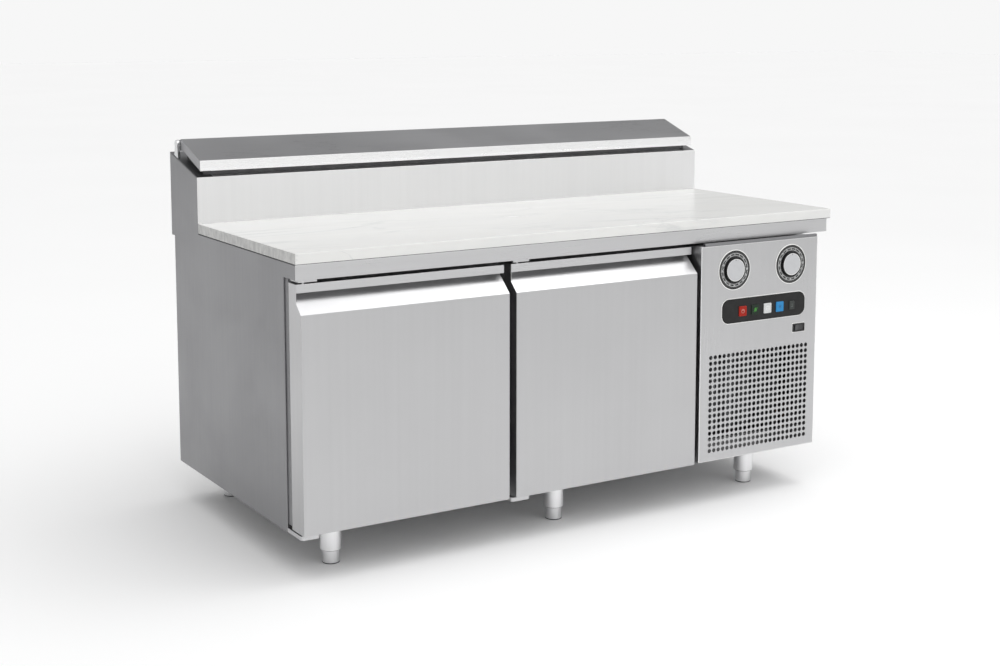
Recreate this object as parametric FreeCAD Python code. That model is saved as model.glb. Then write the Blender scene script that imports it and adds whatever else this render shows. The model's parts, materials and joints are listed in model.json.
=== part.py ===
"""Two-door refrigerated sandwich prep table with a stone worktop and a lidded ingredient rail.

Design coordinates, in millimetres: x runs right from the outer face of the left side, y runs
back from the plane of the steel band under the stone, z runs up from the cabinet's underside.
Every node is moved at export so that the origin is the bottom centre of the bounding box.
"""
import FreeCAD
import Part
import math
import os

# --- overall sizes -------------------------------------------------------------------------
WIDTH = 1600.0
BODY_RIGHT = 1540.0
BAND_RIGHT = 1587.0
BODY_FRONT = 68.0
BODY_REAR = 772.0
LEG_HEIGHT = 98.0
WALL = 45.0
SIDE_FOLD = 15.0
SHEET = 1.2
TOUCH_GAP = 0.3

# --- worktop -------------------------------------------------------------------------------
DECK_BOTTOM = 599.0
STONE_BOTTOM = 635.0
STONE_THICK = 26.0
STONE_CORNER = 9.0
STONE_ARRIS = 1.6
BAND_THICK = 1.5

# --- raised hood over the ingredient rail --------------------------------------------------
HOOD_FRONT = 597.2
HOOD_REAR = 792.0
HOOD_FRONT_TOP = 779.0
HOOD_REAR_TOP = 832.0
HOOD_SKIRT = 611.0
HOOD_WALL = 40.0
HOOD_SLOPE = (HOOD_REAR_TOP - HOOD_FRONT_TOP) / (HOOD_REAR - HOOD_FRONT)

# --- ingredient pans, ninth size -----------------------------------------------------------
PAN_COUNT = 8
PAN_LENGTH = 176.0
PAN_WIDTH = 108.0
PAN_DEPTH = 100.0
PAN_RIM = 8.0
PAN_WALL = 0.8
PAN_PITCH = 188.0
PAN_TAPER = 5.0
RAIL_TOP = 775.0
RAIL_THICK = 3.0
WELL_FLOOR = 661.0

# --- doors ---------------------------------------------------------------------------------
DOOR_FACE = -26.0
DOOR_BACK = 39.0
DOOR_BOTTOM = 16.0
DOOR_TOP = 591.0
DOOR_SPANS = ((0.0, 546.4), (566.0, 1118.0))
LIP_BOTTOM = 571.0
LIP_THICK = 2.2
GRIP_START = 525.0
RECESS_BACK = 22.0
RECESS_FLOOR = 569.0
END_CAP_NOTCH = 549.0
GASKET_BACK = 51.2
GASKET_WIDTH = 16.0
GASKET_INSET = 13.0
GASKET_LOW = 26.0
GASKET_HIGH = 586.0
PIVOT_INSET = 20.0
PIVOT_Y = 6.0
LOWER_PIN_R = 5.0
UPPER_PIN_R = 3.0
PIN_CLEARANCE = 0.05

# --- cold bays -----------------------------------------------------------------------------
BAYS = ((45.0, 513.0), (599.0, 1085.0))
PARTITION_RIGHT = 1125.0
FRAME_FRONT = 52.0
FRAME_SIDE = 28.0
FRAME_TOP = 24.0
SHELF_Z = 300.0
SHELF_WIRE_R = 2.5
SHELF_EDGE_R = 4.0
SHELF_WIRES = 17
UPRIGHT_WIDTH = 22.0
UPRIGHT_THICK = 4.0
UPRIGHT_SETBACK = 60.0

# --- machine compartment front -------------------------------------------------------------
PANEL_LEFT = 1131.0
PANEL_RIGHT = 1532.0
PANEL_BOTTOM = 18.0
PANEL_TOP = 592.0
PANEL_SHEET = 1.5
VENT_COLUMNS = 23
VENT_ROWS = 17
VENT_PITCH_X = 15.0
VENT_PITCH_Z = 15.65
VENT_FIRST_X = 1167.0
VENT_FIRST_Z = 46.0
VENT_HOLE_R = 5.6
DIAL_CENTRES = ((1241.0, 524.0), (1436.0, 524.0))
DIAL_OUTER_R = 50.0
DIAL_INNER_R = 34.0
DIAL_THICK = 1.5
KNOB_PROUD = 7.0
KNOB_SHAFT_R = 4.0
PLATE_CENTRE = (1345.0, 414.0)
PLATE_SIZE = (286.0, 64.0)
PLATE_CORNER = 22.0
PLATE_THICK = 2.0
BUTTON_NAMES = ("red", "green", "white", "blue", "grey")
BUTTON_FIRST_X = 1270.0
BUTTON_PITCH = 42.8
BUTTON_Z = 411.5
BUTTON_SIZE = (26.0, 27.0)
SMALL_BUTTON_SIZE = (18.0, 23.0)
BUTTON_PROUD = 2.2
BUTTON_REAR = 8.0
SWITCH_CENTRE = (1468.7, 347.2)
SWITCH_SIZE = (42.0, 22.5)
SWITCH_BORDER = 3.0
SWITCH_DEPTH = 24.0
ROCKER_TILT = 8.0
ROCKER_PIVOT_Y = DOOR_FACE + 5.0
ROCKER_PIN_R = 1.6
ROCKER_PIN_REACH = 8.3

# --- lid -----------------------------------------------------------------------------------
LID_LEFT = 10.0
LID_RIGHT = 1585.0
LID_FRONT = 598.4
LID_LIP_BOTTOM = 795.0
LID_LIP_TOP = 821.0
LID_CREST = (732.0, 868.0)
LID_PIVOT = (750.0, 850.0)
LID_PIN_R = 4.0
LID_TAIL_R = 14.0
LID_TRIM = 2.4
LID_INSET = 14.0
LID_GASKET = 12.0
LUG_THICK = 7.0

# --- legs ----------------------------------------------------------------------------------
LEG_X = (121.0, 752.5, 1384.0)
LEG_Y = (92.0, 711.0)
SLEEVE_R = 26.0
SLEEVE_BOTTOM = -64.0
FOOT_R = 20.5
FOOT_WALL = 3.0
FOOT_TOP = -8.0

# --- machinery -----------------------------------------------------------------------------
MACHINE_CENTRE_X = 1331.0
CONDENSER_SIZE = (330.0, 40.0, 240.0)
CONDENSER_Y = 90.0
CONDENSER_Z = 56.0
FAN_Z = 176.0
FAN_R = 108.0
FAN_BLADES = 5
COMPRESSOR_R = 84.0
COMPRESSOR_Y = 500.0
COMPRESSOR_POT = 120.0
COMPRESSOR_DOME = 46.0
COMPRESSOR_FEET = (190.0, 140.0, 4.0)
COIL_TUBE_R = 4.8
COIL_TUBE_PROUD = 8.0
FIN_THICK = 1.0
EVAPORATOR = (260.0, 690.0, 130.0, 545.0)
SHROUD_DEPTH = 45.0
MOTOR_R = 42.0
MOTOR_LENGTH = 62.0
HUB_R = 26.0
HUB_LENGTH = 26.0
FAN_PITCH = 24.0
SUCTION_Z = 420.0

# --- back of the table ---------------------------------------------------------------------
LOUVRE_COLUMNS = 2
LOUVRE_ROWS = 14
LOUVRE_SIZE = (145.0, 8.0)
LOUVRE_PITCH = (170.0, 28.0)
LOUVRE_START = (40.0, 150.0)
SCREW_R = 5.0
SCREW_HEAD = 2.2
COVER_SCREW_Z = (70.0, 240.0, 410.0, 575.0)
HOOD_SCREW_Z = 640.0
HOOD_SCREW_FIRST = 60.0
HOOD_SCREW_PITCH = 185.0
HOOD_SCREWS = 9

STONE_TOP = STONE_BOTTOM + STONE_THICK
KNOB_FRONT = DOOR_FACE - KNOB_PROUD
BRACKET_FRONT = DOOR_FACE + 16.0
ORIGIN = FreeCAD.Vector(WIDTH / 2, (KNOB_FRONT + HOOD_REAR) / 2, -LEG_HEIGHT)

vec = FreeCAD.Vector
Y_AXIS = vec(0, 1, 0)
Z_AXIS = vec(0, 0, 1)


# --- helpers -------------------------------------------------------------------------------
def block(x0, x1, y0, y1, z0, z1):
    """Axis-aligned box between two corners."""
    return Part.makeBox(x1 - x0, y1 - y0, z1 - z0, vec(x0, y0, z0))


def rod(radius, start, end):
    """Round bar between two points."""
    run = vec(*end) - vec(*start)
    return Part.makeCylinder(radius, run.Length, vec(*start), run)


def face_yz(points, x=0.0):
    """Flat face at x with straight edges through (y, z) points."""
    corners = [vec(x, y, z) for y, z in points]
    return Part.Face(Part.makePolygon(corners + corners[:1]))


def prism(points, x0, x1):
    """Extrusion along x of an outline of (y, z) points."""
    return face_yz(points, x0).extrude(vec(x1 - x0, 0, 0))


def hollow_prism(points, x0, x1, wall=SHEET):
    """Closed sheet-metal box with the outline of prism and an empty inside."""
    inner = face_yz(points, x0 + wall).makeOffset2D(-wall)
    return prism(points, x0, x1).cut(inner.extrude(vec(x1 - x0 - 2 * wall, 0, 0)))


def hollow_block(x0, x1, y0, y1, z0, z1, wall=SHEET):
    """Closed sheet-metal box with an empty inside."""
    inner = block(x0 + wall, x1 - wall, y0 + wall, y1 - wall, z0 + wall, z1 - wall)
    return block(x0, x1, y0, y1, z0, z1).cut(inner)


def ring_xz(x0, x1, y0, y1, z0, z1, side, top):
    """Rectangular frame facing the front, with its own member widths."""
    window = block(x0 + side, x1 - side, y0 - 1, y1 + 1, z0 + top, z1 - top)
    return block(x0, x1, y0, y1, z0, z1).cut(window)


def rounded_plate(centre, size, corner, y0, y1):
    """Plate facing the front with rounded corners."""
    cx, cz = centre
    plate = block(cx - size[0] / 2, cx + size[0] / 2, y0, y1, cz - size[1] / 2, cz + size[1] / 2)
    upright = [e for e in plate.Edges if abs(e.tangentAt(e.FirstParameter).y) > 0.99]
    return plate.makeFillet(corner, upright)


def hood_top(y):
    """Height of the hood's sloping rim at depth y."""
    return HOOD_FRONT_TOP + (y - HOOD_FRONT) * HOOD_SLOPE


def joined(shapes):
    """Union of touching or crossing shapes as one clean solid."""
    return shapes[0].multiFuse(shapes[1:]).removeSplitter()


def export(name, shape):
    """Write one node, moved so that the origin is the bounding box's bottom centre."""
    placed = shape.copy()
    placed.translate(vec(-ORIGIN.x, -ORIGIN.y, -ORIGIN.z))
    placed.exportStep("parts/" + name + ".step")
    print(name, len(placed.Solids), "solid(s)", round(placed.Volume / 1000.0, 1), "cm3", placed.isValid())


# --- cabinet -------------------------------------------------------------------------------
def left_side_panel():
    """One-piece side with the hood's cheek above and the arm under the stone in front."""
    outline = [(BODY_FRONT, 0), (BODY_REAR, 0), (BODY_REAR, HOOD_SKIRT),
               (HOOD_REAR - SHEET, HOOD_SKIRT), (HOOD_REAR - SHEET, hood_top(HOOD_REAR - SHEET)),
               (HOOD_FRONT + SHEET, hood_top(HOOD_FRONT + SHEET)), (HOOD_FRONT + SHEET, STONE_BOTTOM),
               (BAND_THICK, STONE_BOTTOM), (BAND_THICK, DECK_BOTTOM), (BODY_FRONT, DECK_BOTTOM)]
    return hollow_prism(outline, 0, WALL)


def right_side_panel():
    """Thin folded side of the machine compartment."""
    return hollow_block(BODY_RIGHT - SIDE_FOLD, BODY_RIGHT, BODY_FRONT, BODY_REAR, 0, DECK_BOTTOM)


def rear_panel():
    """Insulated back of the cold bays."""
    return hollow_block(WALL, PARTITION_RIGHT, BODY_REAR - WALL, BODY_REAR, WALL, DECK_BOTTOM)


def machine_rear_cover():
    """Louvred sheet that closes the machine compartment at the back."""
    left = PARTITION_RIGHT
    right = BODY_RIGHT - SIDE_FOLD
    cover = block(left, right, BODY_REAR - SHEET, BODY_REAR, WALL, DECK_BOTTOM)
    slots = []
    for column in range(LOUVRE_COLUMNS):
        for row in range(LOUVRE_ROWS):
            x = left + LOUVRE_START[0] + column * LOUVRE_PITCH[0]
            z = LOUVRE_START[1] + row * LOUVRE_PITCH[1]
            slots.append(block(x, x + LOUVRE_SIZE[0], BODY_REAR - 5, BODY_REAR + 5, z, z + LOUVRE_SIZE[1]))
    return cover.cut(Part.makeCompound(slots))


def cabinet_floor():
    """Insulated floor that carries the legs and the machinery."""
    return hollow_block(WALL, BODY_RIGHT - SIDE_FOLD, BODY_FRONT, BODY_REAR, 0, WALL)


def bay_partition():
    """Insulated wall between the right cold bay and the machine compartment."""
    return hollow_block(BAYS[1][1], PARTITION_RIGHT, BODY_FRONT, BODY_REAR - WALL, WALL, DECK_BOTTOM)


def door_mullion():
    """Post between the two door openings."""
    return hollow_block(BAYS[0][1], BAYS[1][0], BODY_FRONT, BODY_FRONT + 50, WALL, DECK_BOTTOM)


def breaker_frames():
    """Plastic frames around the two openings, where the gaskets seal."""
    frames = []
    for (left, right), (door_left, _) in zip(BAYS, DOOR_SPANS):
        outer_left = door_left + 5
        low = GASKET_LOW - 6
        high = DECK_BOTTOM - 1
        frame = block(outer_left, right + FRAME_SIDE, FRAME_FRONT, BODY_FRONT, low, high)
        window = block(left, right, FRAME_FRONT - 1, BODY_FRONT + 1, WALL, high - FRAME_TOP)
        frames.append(frame.cut(window))
    return Part.makeCompound(frames)


def worktop_subframe():
    """Insulated steel deck under the stone, with the visible front band."""
    deck = hollow_block(WALL, BAND_RIGHT - SHEET, BAND_THICK, BODY_REAR - SHEET, DECK_BOTTOM, STONE_BOTTOM)
    band = block(0, BAND_RIGHT, 0, BAND_THICK, DECK_BOTTOM, STONE_BOTTOM)
    end = block(BAND_RIGHT - SHEET, BAND_RIGHT, BAND_THICK, BODY_REAR - SHEET, DECK_BOTTOM, STONE_BOTTOM)
    return joined([deck, band, end])


def marble_worktop():
    """Stone slab with rounded front corners and eased arrises."""
    slab = block(0, WIDTH, 0, HOOD_FRONT, STONE_BOTTOM, STONE_TOP)
    corner = [e for e in slab.Edges if abs(e.tangentAt(0).z) > 0.99 and e.CenterOfMass.y < 1
              and e.CenterOfMass.x > WIDTH / 2]
    slab = slab.makeFillet(STONE_CORNER, corner)
    arris = [e for e in slab.Edges
             if e.CenterOfMass.z > STONE_TOP - 0.1 and e.CenterOfMass.y < HOOD_FRONT - 1]
    return slab.makeChamfer(STONE_ARRIS, arris)


# --- hood and ingredient rail --------------------------------------------------------------
def hood_front_panel():
    """Upright front of the hood; its outer sheet runs the full width."""
    inner_face = HOOD_FRONT + HOOD_WALL
    outline = [(HOOD_FRONT, STONE_BOTTOM), (inner_face, STONE_BOTTOM),
               (inner_face, hood_top(inner_face)), (HOOD_FRONT, HOOD_FRONT_TOP)]
    body = hollow_prism(outline, WALL, WIDTH - WALL)
    top = hood_top(HOOD_FRONT + SHEET)
    sheet = [(HOOD_FRONT, STONE_TOP), (HOOD_FRONT + SHEET, STONE_TOP),
             (HOOD_FRONT + SHEET, top), (HOOD_FRONT, HOOD_FRONT_TOP)]
    return joined([body, prism(sheet, 0, WIDTH)])


def hood_rear_outline(rear):
    """Outline of the hood's back wall, with the skirt that hangs behind the body."""
    inner_face = HOOD_REAR - HOOD_WALL
    return [(inner_face, STONE_BOTTOM), (BODY_REAR, STONE_BOTTOM), (BODY_REAR, HOOD_SKIRT),
            (rear, HOOD_SKIRT), (rear, hood_top(rear)), (inner_face, hood_top(inner_face))]


def hood_screw_points():
    """Row of flush screws along the hood's back, as x and z."""
    return [(HOOD_SCREW_FIRST + index * HOOD_SCREW_PITCH, HOOD_SCREW_Z) for index in range(HOOD_SCREWS)]


def hood_rear_panel():
    """Back wall of the hood; its outer sheet runs the full width."""
    body = hollow_prism(hood_rear_outline(HOOD_REAR), WALL, WIDTH - WALL)
    inside = HOOD_REAR - SHEET
    sheet = [(inside, HOOD_SKIRT), (HOOD_REAR, HOOD_SKIRT),
             (HOOD_REAR, HOOD_REAR_TOP), (inside, hood_top(inside))]
    seats = [rod(SCREW_R + PIN_CLEARANCE, (x, HOOD_REAR - SCREW_HEAD - TOUCH_GAP, z), (x, HOOD_REAR + 1, z))
             for x, z in hood_screw_points()]
    return joined([body, prism(sheet, 0, WIDTH)]).cut(Part.makeCompound(seats))


def hood_end_right():
    """Right cheek of the hood."""
    rear = HOOD_REAR - SHEET
    front = HOOD_FRONT + SHEET
    outline = [(front, STONE_BOTTOM), (BODY_REAR, STONE_BOTTOM), (BODY_REAR, HOOD_SKIRT),
               (rear, HOOD_SKIRT), (rear, hood_top(rear)), (front, hood_top(front))]
    return hollow_prism(outline, WIDTH - WALL, WIDTH)


WELL_FRONT = HOOD_FRONT + HOOD_WALL
WELL_REAR = HOOD_REAR - HOOD_WALL


def well_liner():
    """Open steel tub that the pans hang in."""
    outer = [(WELL_FRONT, WELL_FLOOR), (WELL_REAR, WELL_FLOOR),
             (WELL_REAR, hood_top(WELL_REAR)), (WELL_FRONT, hood_top(WELL_FRONT))]
    inner = [(WELL_FRONT + 1, WELL_FLOOR + 1), (WELL_REAR - 1, WELL_FLOOR + 1),
             (WELL_REAR - 1, HOOD_REAR_TOP), (WELL_FRONT + 1, HOOD_REAR_TOP)]
    return prism(outer, WALL, WIDTH - WALL).cut(prism(inner, WALL + 1, WIDTH - WALL - 1))


def pan_left(index):
    """Left end of a pan's rim."""
    return WIDTH / 2 - PAN_COUNT * PAN_PITCH / 2 + index * PAN_PITCH + (PAN_PITCH - PAN_LENGTH) / 2


PAN_FRONT = (WELL_FRONT + WELL_REAR - PAN_WIDTH) / 2


def pan_rail_frame():
    """Two long rails with a cross bar on each side of every pan, as separate bars."""
    low = RAIL_TOP - RAIL_THICK
    hole_front = PAN_FRONT + PAN_RIM - 0.5
    hole_rear = PAN_FRONT + PAN_WIDTH - PAN_RIM + 0.5
    left = WALL + 1
    right = WIDTH - WALL - 1
    bars = [block(left, right, WELL_FRONT + 1, hole_front, low, RAIL_TOP),
            block(left, right, hole_rear, WELL_REAR - 1, low, RAIL_TOP)]
    start = left
    for index in range(PAN_COUNT + 1):
        last = index == PAN_COUNT
        end = right if last else pan_left(index) + PAN_RIM - 0.5
        bars.append(block(start, end, hole_front, hole_rear, low, RAIL_TOP))
        start = end if last else pan_left(index) + PAN_LENGTH - PAN_RIM + 0.5
    return Part.makeCompound(bars)


def tapered_tub(x0, x1, y0, y1, z0, z1, taper):
    """Solid that narrows by taper on every side towards its floor."""
    def loop(inset, z):
        corners = [vec(x0 + inset, y0 + inset, z), vec(x1 - inset, y0 + inset, z),
                   vec(x1 - inset, y1 - inset, z), vec(x0 + inset, y1 - inset, z)]
        return Part.makePolygon(corners + corners[:1])
    return Part.makeLoft([loop(taper, z0), loop(0, z1)], True)


def ingredient_pans():
    """Row of pressed steel pans that hang from their rims."""
    pans = []
    rear = PAN_FRONT + PAN_WIDTH
    for index in range(PAN_COUNT):
        left = pan_left(index)
        right = left + PAN_LENGTH
        rim = block(left, right, PAN_FRONT, rear, RAIL_TOP, RAIL_TOP + PAN_WALL)
        tub = tapered_tub(left + PAN_RIM, right - PAN_RIM, PAN_FRONT + PAN_RIM, rear - PAN_RIM,
                          RAIL_TOP - PAN_DEPTH, RAIL_TOP + PAN_WALL, PAN_TAPER)
        skin = PAN_RIM + PAN_WALL
        room = tapered_tub(left + skin, right - skin, PAN_FRONT + skin, rear - skin,
                           RAIL_TOP - PAN_DEPTH + PAN_WALL, RAIL_TOP + PAN_WALL, PAN_TAPER)
        pans.append(joined([rim, tub]).cut(room))
    return Part.makeCompound(pans)


# --- lid -----------------------------------------------------------------------------------
LID_RISE = (LID_CREST[1] - LID_LIP_TOP) / (LID_CREST[0] - LID_FRONT)


def lid_outline(lip_depth):
    """Side outline of the lid's cover, with a round tail about the pivot."""
    py, pz = LID_PIVOT
    tail = [(py + LID_TAIL_R * math.cos(a), pz + LID_TAIL_R * math.sin(a))
            for a in (math.radians(d) for d in (60, 30, 0, -30, -60, -90))]
    low_rear = (LID_CREST[0] - 14, LID_CREST[1] - lip_depth - 4)
    return [(LID_FRONT + LID_TRIM, LID_LIP_BOTTOM), (LID_FRONT + LID_TRIM, LID_LIP_TOP + LID_TRIM * LID_RISE),
            LID_CREST] + tail + [low_rear]


def lid_cover():
    """Folded steel cover: top, two side flanges, front flange and tail, open underneath."""
    outline = lid_outline(LID_LIP_TOP - LID_LIP_BOTTOM)
    cover = prism(outline, LID_LEFT, LID_RIGHT)
    inner = face_yz(outline, LID_LEFT + SHEET).makeOffset2D(-SHEET).extrude(
        vec(LID_RIGHT - LID_LEFT - 2 * SHEET, 0, 0))
    py, pz = LID_PIVOT
    front = LID_FRONT + LID_TRIM + SHEET
    rear = py - LID_TAIL_R
    throat = prism([(front, LID_LIP_BOTTOM - 9), (rear, pz - LID_TAIL_R - 25), (rear, pz + 2),
                    (front, LID_LIP_BOTTOM + 6)], LID_LEFT + SHEET, LID_RIGHT - SHEET)
    bore = rod(LID_PIN_R + PIN_CLEARANCE, (LID_LEFT - 5, py, pz), (LID_RIGHT + 5, py, pz))
    return cover.cut(inner).cut(throat).cut(bore)


def lid_front_trim():
    """Bright strip along the lid's front edge, hemmed at its foot."""
    return prism([(LID_FRONT, LID_LIP_BOTTOM), (LID_FRONT + LID_TRIM, LID_LIP_BOTTOM),
                  (LID_FRONT + LID_TRIM, LID_LIP_TOP + LID_TRIM * LID_RISE), (LID_FRONT, LID_LIP_TOP)],
                 LID_LEFT, LID_RIGHT)


def lid_underside(y):
    """Height of the flat underside of the lid's liner at depth y."""
    return hood_top(y) + LID_GASKET + TOUCH_GAP


LINER_FRONT = LID_FRONT + 16.0
LINER_REAR = LID_PIVOT[0] - LID_TAIL_R - 4.0


def lid_liner():
    """Moulded inner tray that closes the cover from below."""
    clearance = 2.0 + SHEET
    top_front = LID_LIP_TOP + (LINER_FRONT - LID_FRONT) * LID_RISE - clearance
    top_rear = LID_LIP_TOP + (LINER_REAR - 10 - LID_FRONT) * LID_RISE - clearance
    outline = [(LINER_FRONT, lid_underside(LINER_FRONT)), (LINER_REAR, lid_underside(LINER_REAR)),
               (LINER_REAR, top_rear - 12), (LINER_REAR - 10, top_rear), (LINER_FRONT, top_front)]
    return hollow_prism(outline, LID_LEFT + LID_INSET, LID_RIGHT - LID_INSET, 2.0)


def lid_gasket():
    """Rubber ring under the liner that rests on the hood's rim."""
    left = LID_LEFT + LID_INSET + 2
    right = LID_RIGHT - LID_INSET - 2
    front = LINER_FRONT + 2
    rear = LINER_REAR + 2
    bars = []
    for y0, y1 in ((front, front + 14), (rear - 12, rear - 2)):
        strip = [(y0, hood_top(y0) + TOUCH_GAP), (y1, hood_top(y1) + TOUCH_GAP),
                 (y1, lid_underside(y1)), (y0, lid_underside(y0))]
        bars.append(prism(strip, left, right))
    side = [(front + 14, hood_top(front + 14) + TOUCH_GAP), (rear - 12, hood_top(rear - 12) + TOUCH_GAP),
            (rear - 12, lid_underside(rear - 12)), (front + 14, lid_underside(front + 14))]
    bars.append(prism(side, left, left + 14))
    bars.append(prism(side, right - 14, right))
    return joined(bars)


def lid_hinge_lugs():
    """Upright lug with a fixed pivot pin at each end of the lid."""
    py, pz = LID_PIVOT
    lugs = []
    spans = ((LID_LEFT - 1 - LUG_THICK, LID_LEFT - 1), (LID_RIGHT + 1, LID_RIGHT + 1 + LUG_THICK))
    for outer, inner in spans:
        foot = [(py - 13, hood_top(py - 13)), (py + 14, hood_top(py + 14)), (py + 9, pz), (py - 9, pz)]
        head = rod(11.0, (outer, py, pz + 4), (inner, py, pz + 4))
        on_left = outer < WIDTH / 2
        tip = LID_LEFT + 9 if on_left else LID_RIGHT - 9
        pin = rod(LID_PIN_R, (outer if on_left else inner, py, pz), (tip, py, pz))
        lugs.append(joined([prism(foot, outer, inner), head, pin]))
    return Part.makeCompound(lugs)


# --- doors ---------------------------------------------------------------------------------
def door_outline(grow, back, top, bottom):
    """Outline of the door's section, drawn in by grow, with its sloping finger grip."""
    drop = grow * 0.5
    return [(DOOR_FACE + grow, GRIP_START - drop), (RECESS_BACK + grow, RECESS_FLOOR - drop),
            (RECESS_BACK + grow, top), (back, top), (back, bottom), (DOOR_FACE + grow, bottom)]


def door_panel(x0, x1):
    """Outer pan of a door: face, grip slope, recess wall and returns, with a full left end."""
    top = DOOR_TOP - LIP_THICK
    outer = prism(door_outline(0, DOOR_BACK, top, DOOR_BOTTOM), x0, x1)
    inner = prism(door_outline(SHEET, DOOR_BACK + 5, top - SHEET, DOOR_BOTTOM + SHEET),
                  x0 + SHEET, x1 - SHEET)
    cap = prism([(DOOR_FACE, DOOR_BOTTOM), (DOOR_BACK, DOOR_BOTTOM), (DOOR_BACK, DOOR_TOP), (0, DOOR_TOP),
                 (0, END_CAP_NOTCH), (DOOR_FACE, GRIP_START)], x0, x0 + SHEET)
    lower_bore = rod(LOWER_PIN_R + PIN_CLEARANCE, (x0 + PIVOT_INSET, PIVOT_Y, 0),
                     (x0 + PIVOT_INSET, PIVOT_Y, 60))
    return joined([outer.cut(inner), cap]).cut(lower_bore)


def door_handle(x0, x1):
    """Full-width top strip with a turned-down lip that hides the finger recess."""
    left = x0 + SHEET
    strip = prism([(0, LIP_BOTTOM), (LIP_THICK, LIP_BOTTOM), (LIP_THICK, DOOR_TOP - LIP_THICK),
                   (DOOR_BACK, DOOR_TOP - LIP_THICK), (DOOR_BACK, DOOR_TOP), (0, DOOR_TOP)], left, x1)
    bore = rod(UPPER_PIN_R + PIN_CLEARANCE, (x0 + PIVOT_INSET, PIVOT_Y, DOOR_TOP - 8),
               (x0 + PIVOT_INSET, PIVOT_Y, DOOR_TOP + 8))
    return strip.cut(bore)


def door_liner(x0, x1):
    """Inner sheet of a door with a pressed, raised field inside the gasket."""
    top = DOOR_TOP - LIP_THICK - SHEET
    sheet = block(x0 + SHEET, x1 - SHEET, DOOR_BACK - SHEET, DOOR_BACK, DOOR_BOTTOM + SHEET, top)
    inset = GASKET_INSET + GASKET_WIDTH + 4
    pad = rounded_plate(((x0 + x1) / 2, (GASKET_LOW + GASKET_HIGH) / 2),
                        (x1 - x0 - 2 * inset, GASKET_HIGH - GASKET_LOW - 2 * (GASKET_WIDTH + 4)),
                        18.0, DOOR_BACK, DOOR_BACK + 8)
    hollow = pad.copy()
    hollow.translate(vec(0, -SHEET, 0))
    return joined([sheet, pad]).cut(hollow)


def door_gasket(x0, x1):
    """Magnetic rubber gasket on the door's inner face."""
    return ring_xz(x0 + GASKET_INSET, x1 - GASKET_INSET, DOOR_BACK, GASKET_BACK,
                   GASKET_LOW, GASKET_HIGH, GASKET_WIDTH, GASKET_WIDTH)


def door_hinge_brackets():
    """Lower and upper pivot bracket of each door, each with its fixed pin."""
    brackets = []
    lower_spans = ((1.0, 49.0), (562.0, 618.0))
    for (x0, _), (left, right) in zip(DOOR_SPANS, lower_spans):
        pivot_x = x0 + PIVOT_INSET
        shelf = block(left, right, BRACKET_FRONT, BODY_FRONT, 2, 12)
        front_edges = [e for e in shelf.Edges if abs(e.tangentAt(0).z) > 0.99 and e.CenterOfMass.y < 0]
        shelf = shelf.makeFillet(10.0, front_edges)
        lower_pin = rod(LOWER_PIN_R, (pivot_x, PIVOT_Y, 10), (pivot_x, PIVOT_Y, DOOR_BOTTOM + 14))
        brackets.append(joined([shelf, lower_pin]))
        plate = block(pivot_x - 12, pivot_x + 34, 3, FRAME_FRONT - 2, DECK_BOTTOM - 5, DECK_BOTTOM)
        upper_pin = rod(UPPER_PIN_R, (pivot_x, PIVOT_Y, DOOR_TOP - LIP_THICK),
                        (pivot_x, PIVOT_Y, DECK_BOTTOM - 3))
        brackets.append(joined([plate, upper_pin]))
    return Part.makeCompound(brackets)


# --- cold bay fittings ---------------------------------------------------------------------
def wire_shelf(left, right):
    """Wire shelf: an edge loop, two cross bars and a row of wires."""
    x0 = left + 6
    x1 = right - 6
    y0 = BODY_FRONT + 30
    y1 = BODY_REAR - WALL - 20
    bars = [rod(SHELF_EDGE_R, (left + 1, y, SHELF_Z), (right - 1, y, SHELF_Z))
            for y in (y0, (y0 + y1) / 2, y1)]
    bars += [rod(SHELF_EDGE_R - 0.5, (x, y0, SHELF_Z), (x, y1, SHELF_Z)) for x in (x0, x1)]
    step = (x1 - x0) / (SHELF_WIRES + 1)
    wire_z = SHELF_Z + 2.2
    for index in range(1, SHELF_WIRES + 1):
        x = x0 + index * step
        bars.append(rod(SHELF_WIRE_R, (x, y0, wire_z), (x, y1, wire_z)))
    return joined(bars)


def shelf_uprights():
    """Slotted posts at the bays' sides with the clips that hold the shelves."""
    posts = []
    for left, right in BAYS:
        for y in (BODY_FRONT + UPRIGHT_SETBACK, BODY_REAR - WALL - UPRIGHT_SETBACK - UPRIGHT_WIDTH):
            for x0, x1, clip0, clip1 in ((left, left + UPRIGHT_THICK, left, left + 14),
                                         (right - UPRIGHT_THICK, right, right - 14, right)):
                post = block(x0, x1, y, y + UPRIGHT_WIDTH, WALL, DECK_BOTTOM)
                clip = block(clip0, clip1, y + 4, y + UPRIGHT_WIDTH - 4,
                             SHELF_Z - SHELF_EDGE_R - 3, SHELF_Z - SHELF_EDGE_R)
                posts.append(joined([post, clip]))
    shelf_gap = Part.makeCompound([block(left + 2, right - 2, BODY_FRONT, BODY_REAR, SHELF_Z - SHELF_EDGE_R,
                                         SHELF_Z + SHELF_EDGE_R) for left, right in BAYS])
    return Part.makeCompound([post.cut(shelf_gap) for post in posts])


def finned_coil(x0, x1, y0, y1, z0, z1, fins, rows, along_x):
    """Plate-fin coil with straight tubes and an end plate at both ends."""
    parts = []
    low, high = (x0, x1) if along_x else (y0, y1)
    for index in range(fins):
        at = low + (high - low - FIN_THICK) * index / (fins - 1)
        to = at + FIN_THICK
        parts.append(block(at, to, y0, y1, z0, z1) if along_x else block(x0, x1, at, to, z0, z1))
    start, end = low - COIL_TUBE_PROUD, high + COIL_TUBE_PROUD
    for row in range(rows):
        z = z0 + (z1 - z0) * (row + 0.5) / rows
        if along_x:
            parts.append(rod(COIL_TUBE_R, (start, (y0 + y1) / 2, z), (end, (y0 + y1) / 2, z)))
        else:
            parts.append(rod(COIL_TUBE_R, ((x0 + x1) / 2, start, z), ((x0 + x1) / 2, end, z)))
    return joined(parts)


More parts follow.
